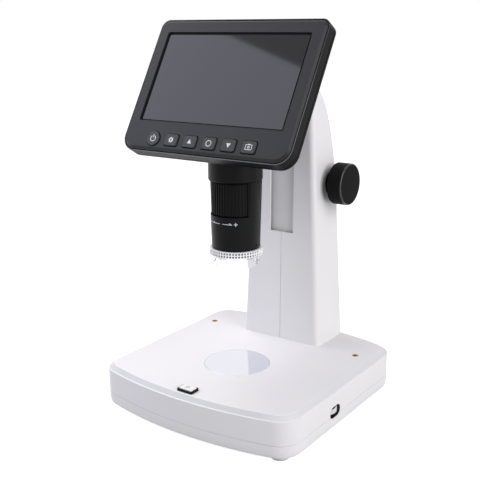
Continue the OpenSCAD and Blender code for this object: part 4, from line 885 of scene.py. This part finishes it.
keyMarks = [powerMark, gearMark, lambda: triangleMark(1), lambda: flatRing(*signForm["ring"]),
            lambda: triangleMark(-1), cameraMark]
for i, (key, makeMark) in enumerate(zip(keyForm["names"], keyMarks)):
    monitorPiece(key + "Key", keyBody(i), "key", key + "_button", "key_black", [key + "_key"])
    mark = moved(makeMark(), keyForm["x"][i], keyForm["y"], keyForm["capSpan"][1])
    monitorPiece(key + "Mark", mark, "mark", key + "_button", "key_black")
print("monitor ready")


# the head's shells are rounded copies of their solids
headForm = {"weld": 0.005, "flat": 1, "edge": (0.3, 2, 50)}


def copied(node):
    shape = bmesh.new()
    shape.from_mesh(frame["nodes"][node].data)
    bmesh.ops.scale(shape, vec=(1 / mm, 1 / mm, 1 / mm), verts=shape.verts)
    bmesh.ops.remove_doubles(shape, verts=shape.verts, dist=headForm["weld"])
    bmesh.ops.dissolve_limit(shape, angle_limit=rad(headForm["flat"]), verts=shape.verts, edges=shape.edges)
    return tidy(shape)


for side in ("left", "right"):
    shell = softened(copied(f"head_{side}_shell"), *headForm["edge"])
    piece(f"head{side.title()}", shell, "head", "head", "head_black", [f"head_{side}_shell"])
print("head ready")


# solids that keep their own shape; the arm is anodised black
slotFinish = {
    "white_shell": "shell", "foot_rubber": "rubber", "steel": "steel", "dark_steel": "darkSteel",
    "opal_disc": "disc", "circuit_board": "board", "brass": "brass", "black_trim": "trim", "silver_cap": "cap",
    "dimmer_plastic": "dimmer", "aluminium": "aluminium", "cover_plastic": "cover", "knob_black": "knob",
    "head_black": "head", "tube_black": "tube", "wheel_rubber": "wheel", "lens_glass": "lens",
    "clear_plastic": "clear", "bezel_black": "bezel", "screen_glass": "glass", "panel_dark": "panel",
    "battery_wrap": "wrap", "key_black": "key"}
nodeFinish = {"head_arm": "head"}
for part in frame["record"]["subparts"]:
    kind = nodeFinish.get(part["node"], slotFinish[part["material_slot"]])
    solid = frame["nodes"][part["node"]]
    solid.data.materials.clear()
    solid.data.materials.append(finishes[kind].material)
print("solids ready")


# share of white that the camera sees behind the object, and light that the surroundings give
sky = {"seen": 1.0, "ambient": 0.3}
ground = {"color": (0.5, 0.5, 0.5), "roughness": 0.9, "seen": 0.9, "size": 3}
# places, aims and sizes in mm, rolls in degrees, power in watts
lamps = {
    "over": {"place": (-500, 100, 800), "aim": (0, 0, 60), "size": (700, 700), "power": 4.1,
             "color": (1, 0.965, 0.99)},
    "right": {"place": (850, -160, 520), "aim": (0, 0, 100), "size": (700, 900), "power": 7.0,
              "color": (0.99, 0.98, 1)},
    "left": {"place": (-900, -400, 330), "aim": (0, 0, 100), "size": (700, 560), "power": 0.8,
             "color": (0.97, 0.97, 1)},
    "panel": {"place": (-553, -579, 711.5), "aim": (-19, -175, 110.5), "roll": 20.5, "size": (900, 520),
              "power": 3.5, "color": (0.8, 0.83, 1)},
}

floorShape = bmesh.new()
bmesh.ops.create_grid(floorShape, x_segments=1, y_segments=1, size=ground["size"])
floorMesh = bpy.data.meshes.new("floor")
floorShape.to_mesh(floorMesh)
floorShape.free()
floor = bpy.data.objects.new("floor", floorMesh)
bpy.context.scene.collection.objects.link(floor)
floorFinish = Finish("floorWhite", ground["color"], ground["roughness"], Emission_Color=(1, 1, 1))
direct, mirrored, through = (floorFinish.node("ShaderNodeLightPath", output=f"Is {kind} Ray")
                             for kind in ("Camera", "Glossy", "Transmission"))
floorFinish.set("Emission Strength", direct.sum("MAXIMUM", mirrored).sum("MAXIMUM", through) * ground["seen"])
floorMesh.materials.append(floorFinish.material)

world = bpy.data.worlds.new("world")
world.use_nodes = True
bpy.context.scene.world = world
background = world.node_tree.nodes["Background"]
rays, clear, seen, level = (world.node_tree.nodes.new("ShaderNode" + kind)
                            for kind in ("LightPath", "Math", "Math", "MapRange"))
seen.operation = clear.operation = "MAXIMUM"
level.inputs["To Min"].default_value = sky["ambient"]
level.inputs["To Max"].default_value = sky["seen"]
for source, target in ((rays.outputs["Is Glossy Ray"], clear.inputs[0]),
                       (rays.outputs["Is Transmission Ray"], clear.inputs[1]),
                       (rays.outputs["Is Camera Ray"], seen.inputs[0]),
                       (clear.outputs[0], seen.inputs[1]),
                       (seen.outputs[0], level.inputs["Value"]),
                       (level.outputs["Result"], background.inputs["Strength"])):
    world.node_tree.links.new(source, target)
background.inputs["Color"].default_value = (1, 1, 1, 1)

for name, lamp in lamps.items():
    light = bpy.data.lights.new(name, "AREA")
    light.shape = "RECTANGLE"
    light.size, light.size_y = (s * mm for s in lamp["size"])
    light.energy, light.color = lamp["power"], lamp["color"]
    made = bpy.data.objects.new(name, light)
    bpy.context.scene.collection.objects.link(made)
    made.visible_camera = False
    made.location = Vector(lamp["place"]) * mm
    turn = (Vector(lamp["aim"]) - Vector(lamp["place"])).to_track_quat("-Z", "Y").to_matrix()
    made.rotation_euler = (turn @ Matrix.Rotation(rad(lamp.get("roll", 0)), 3, "Z")).to_euler()

bpy.context.scene.view_settings.view_transform = "Standard"
print("stage ready")
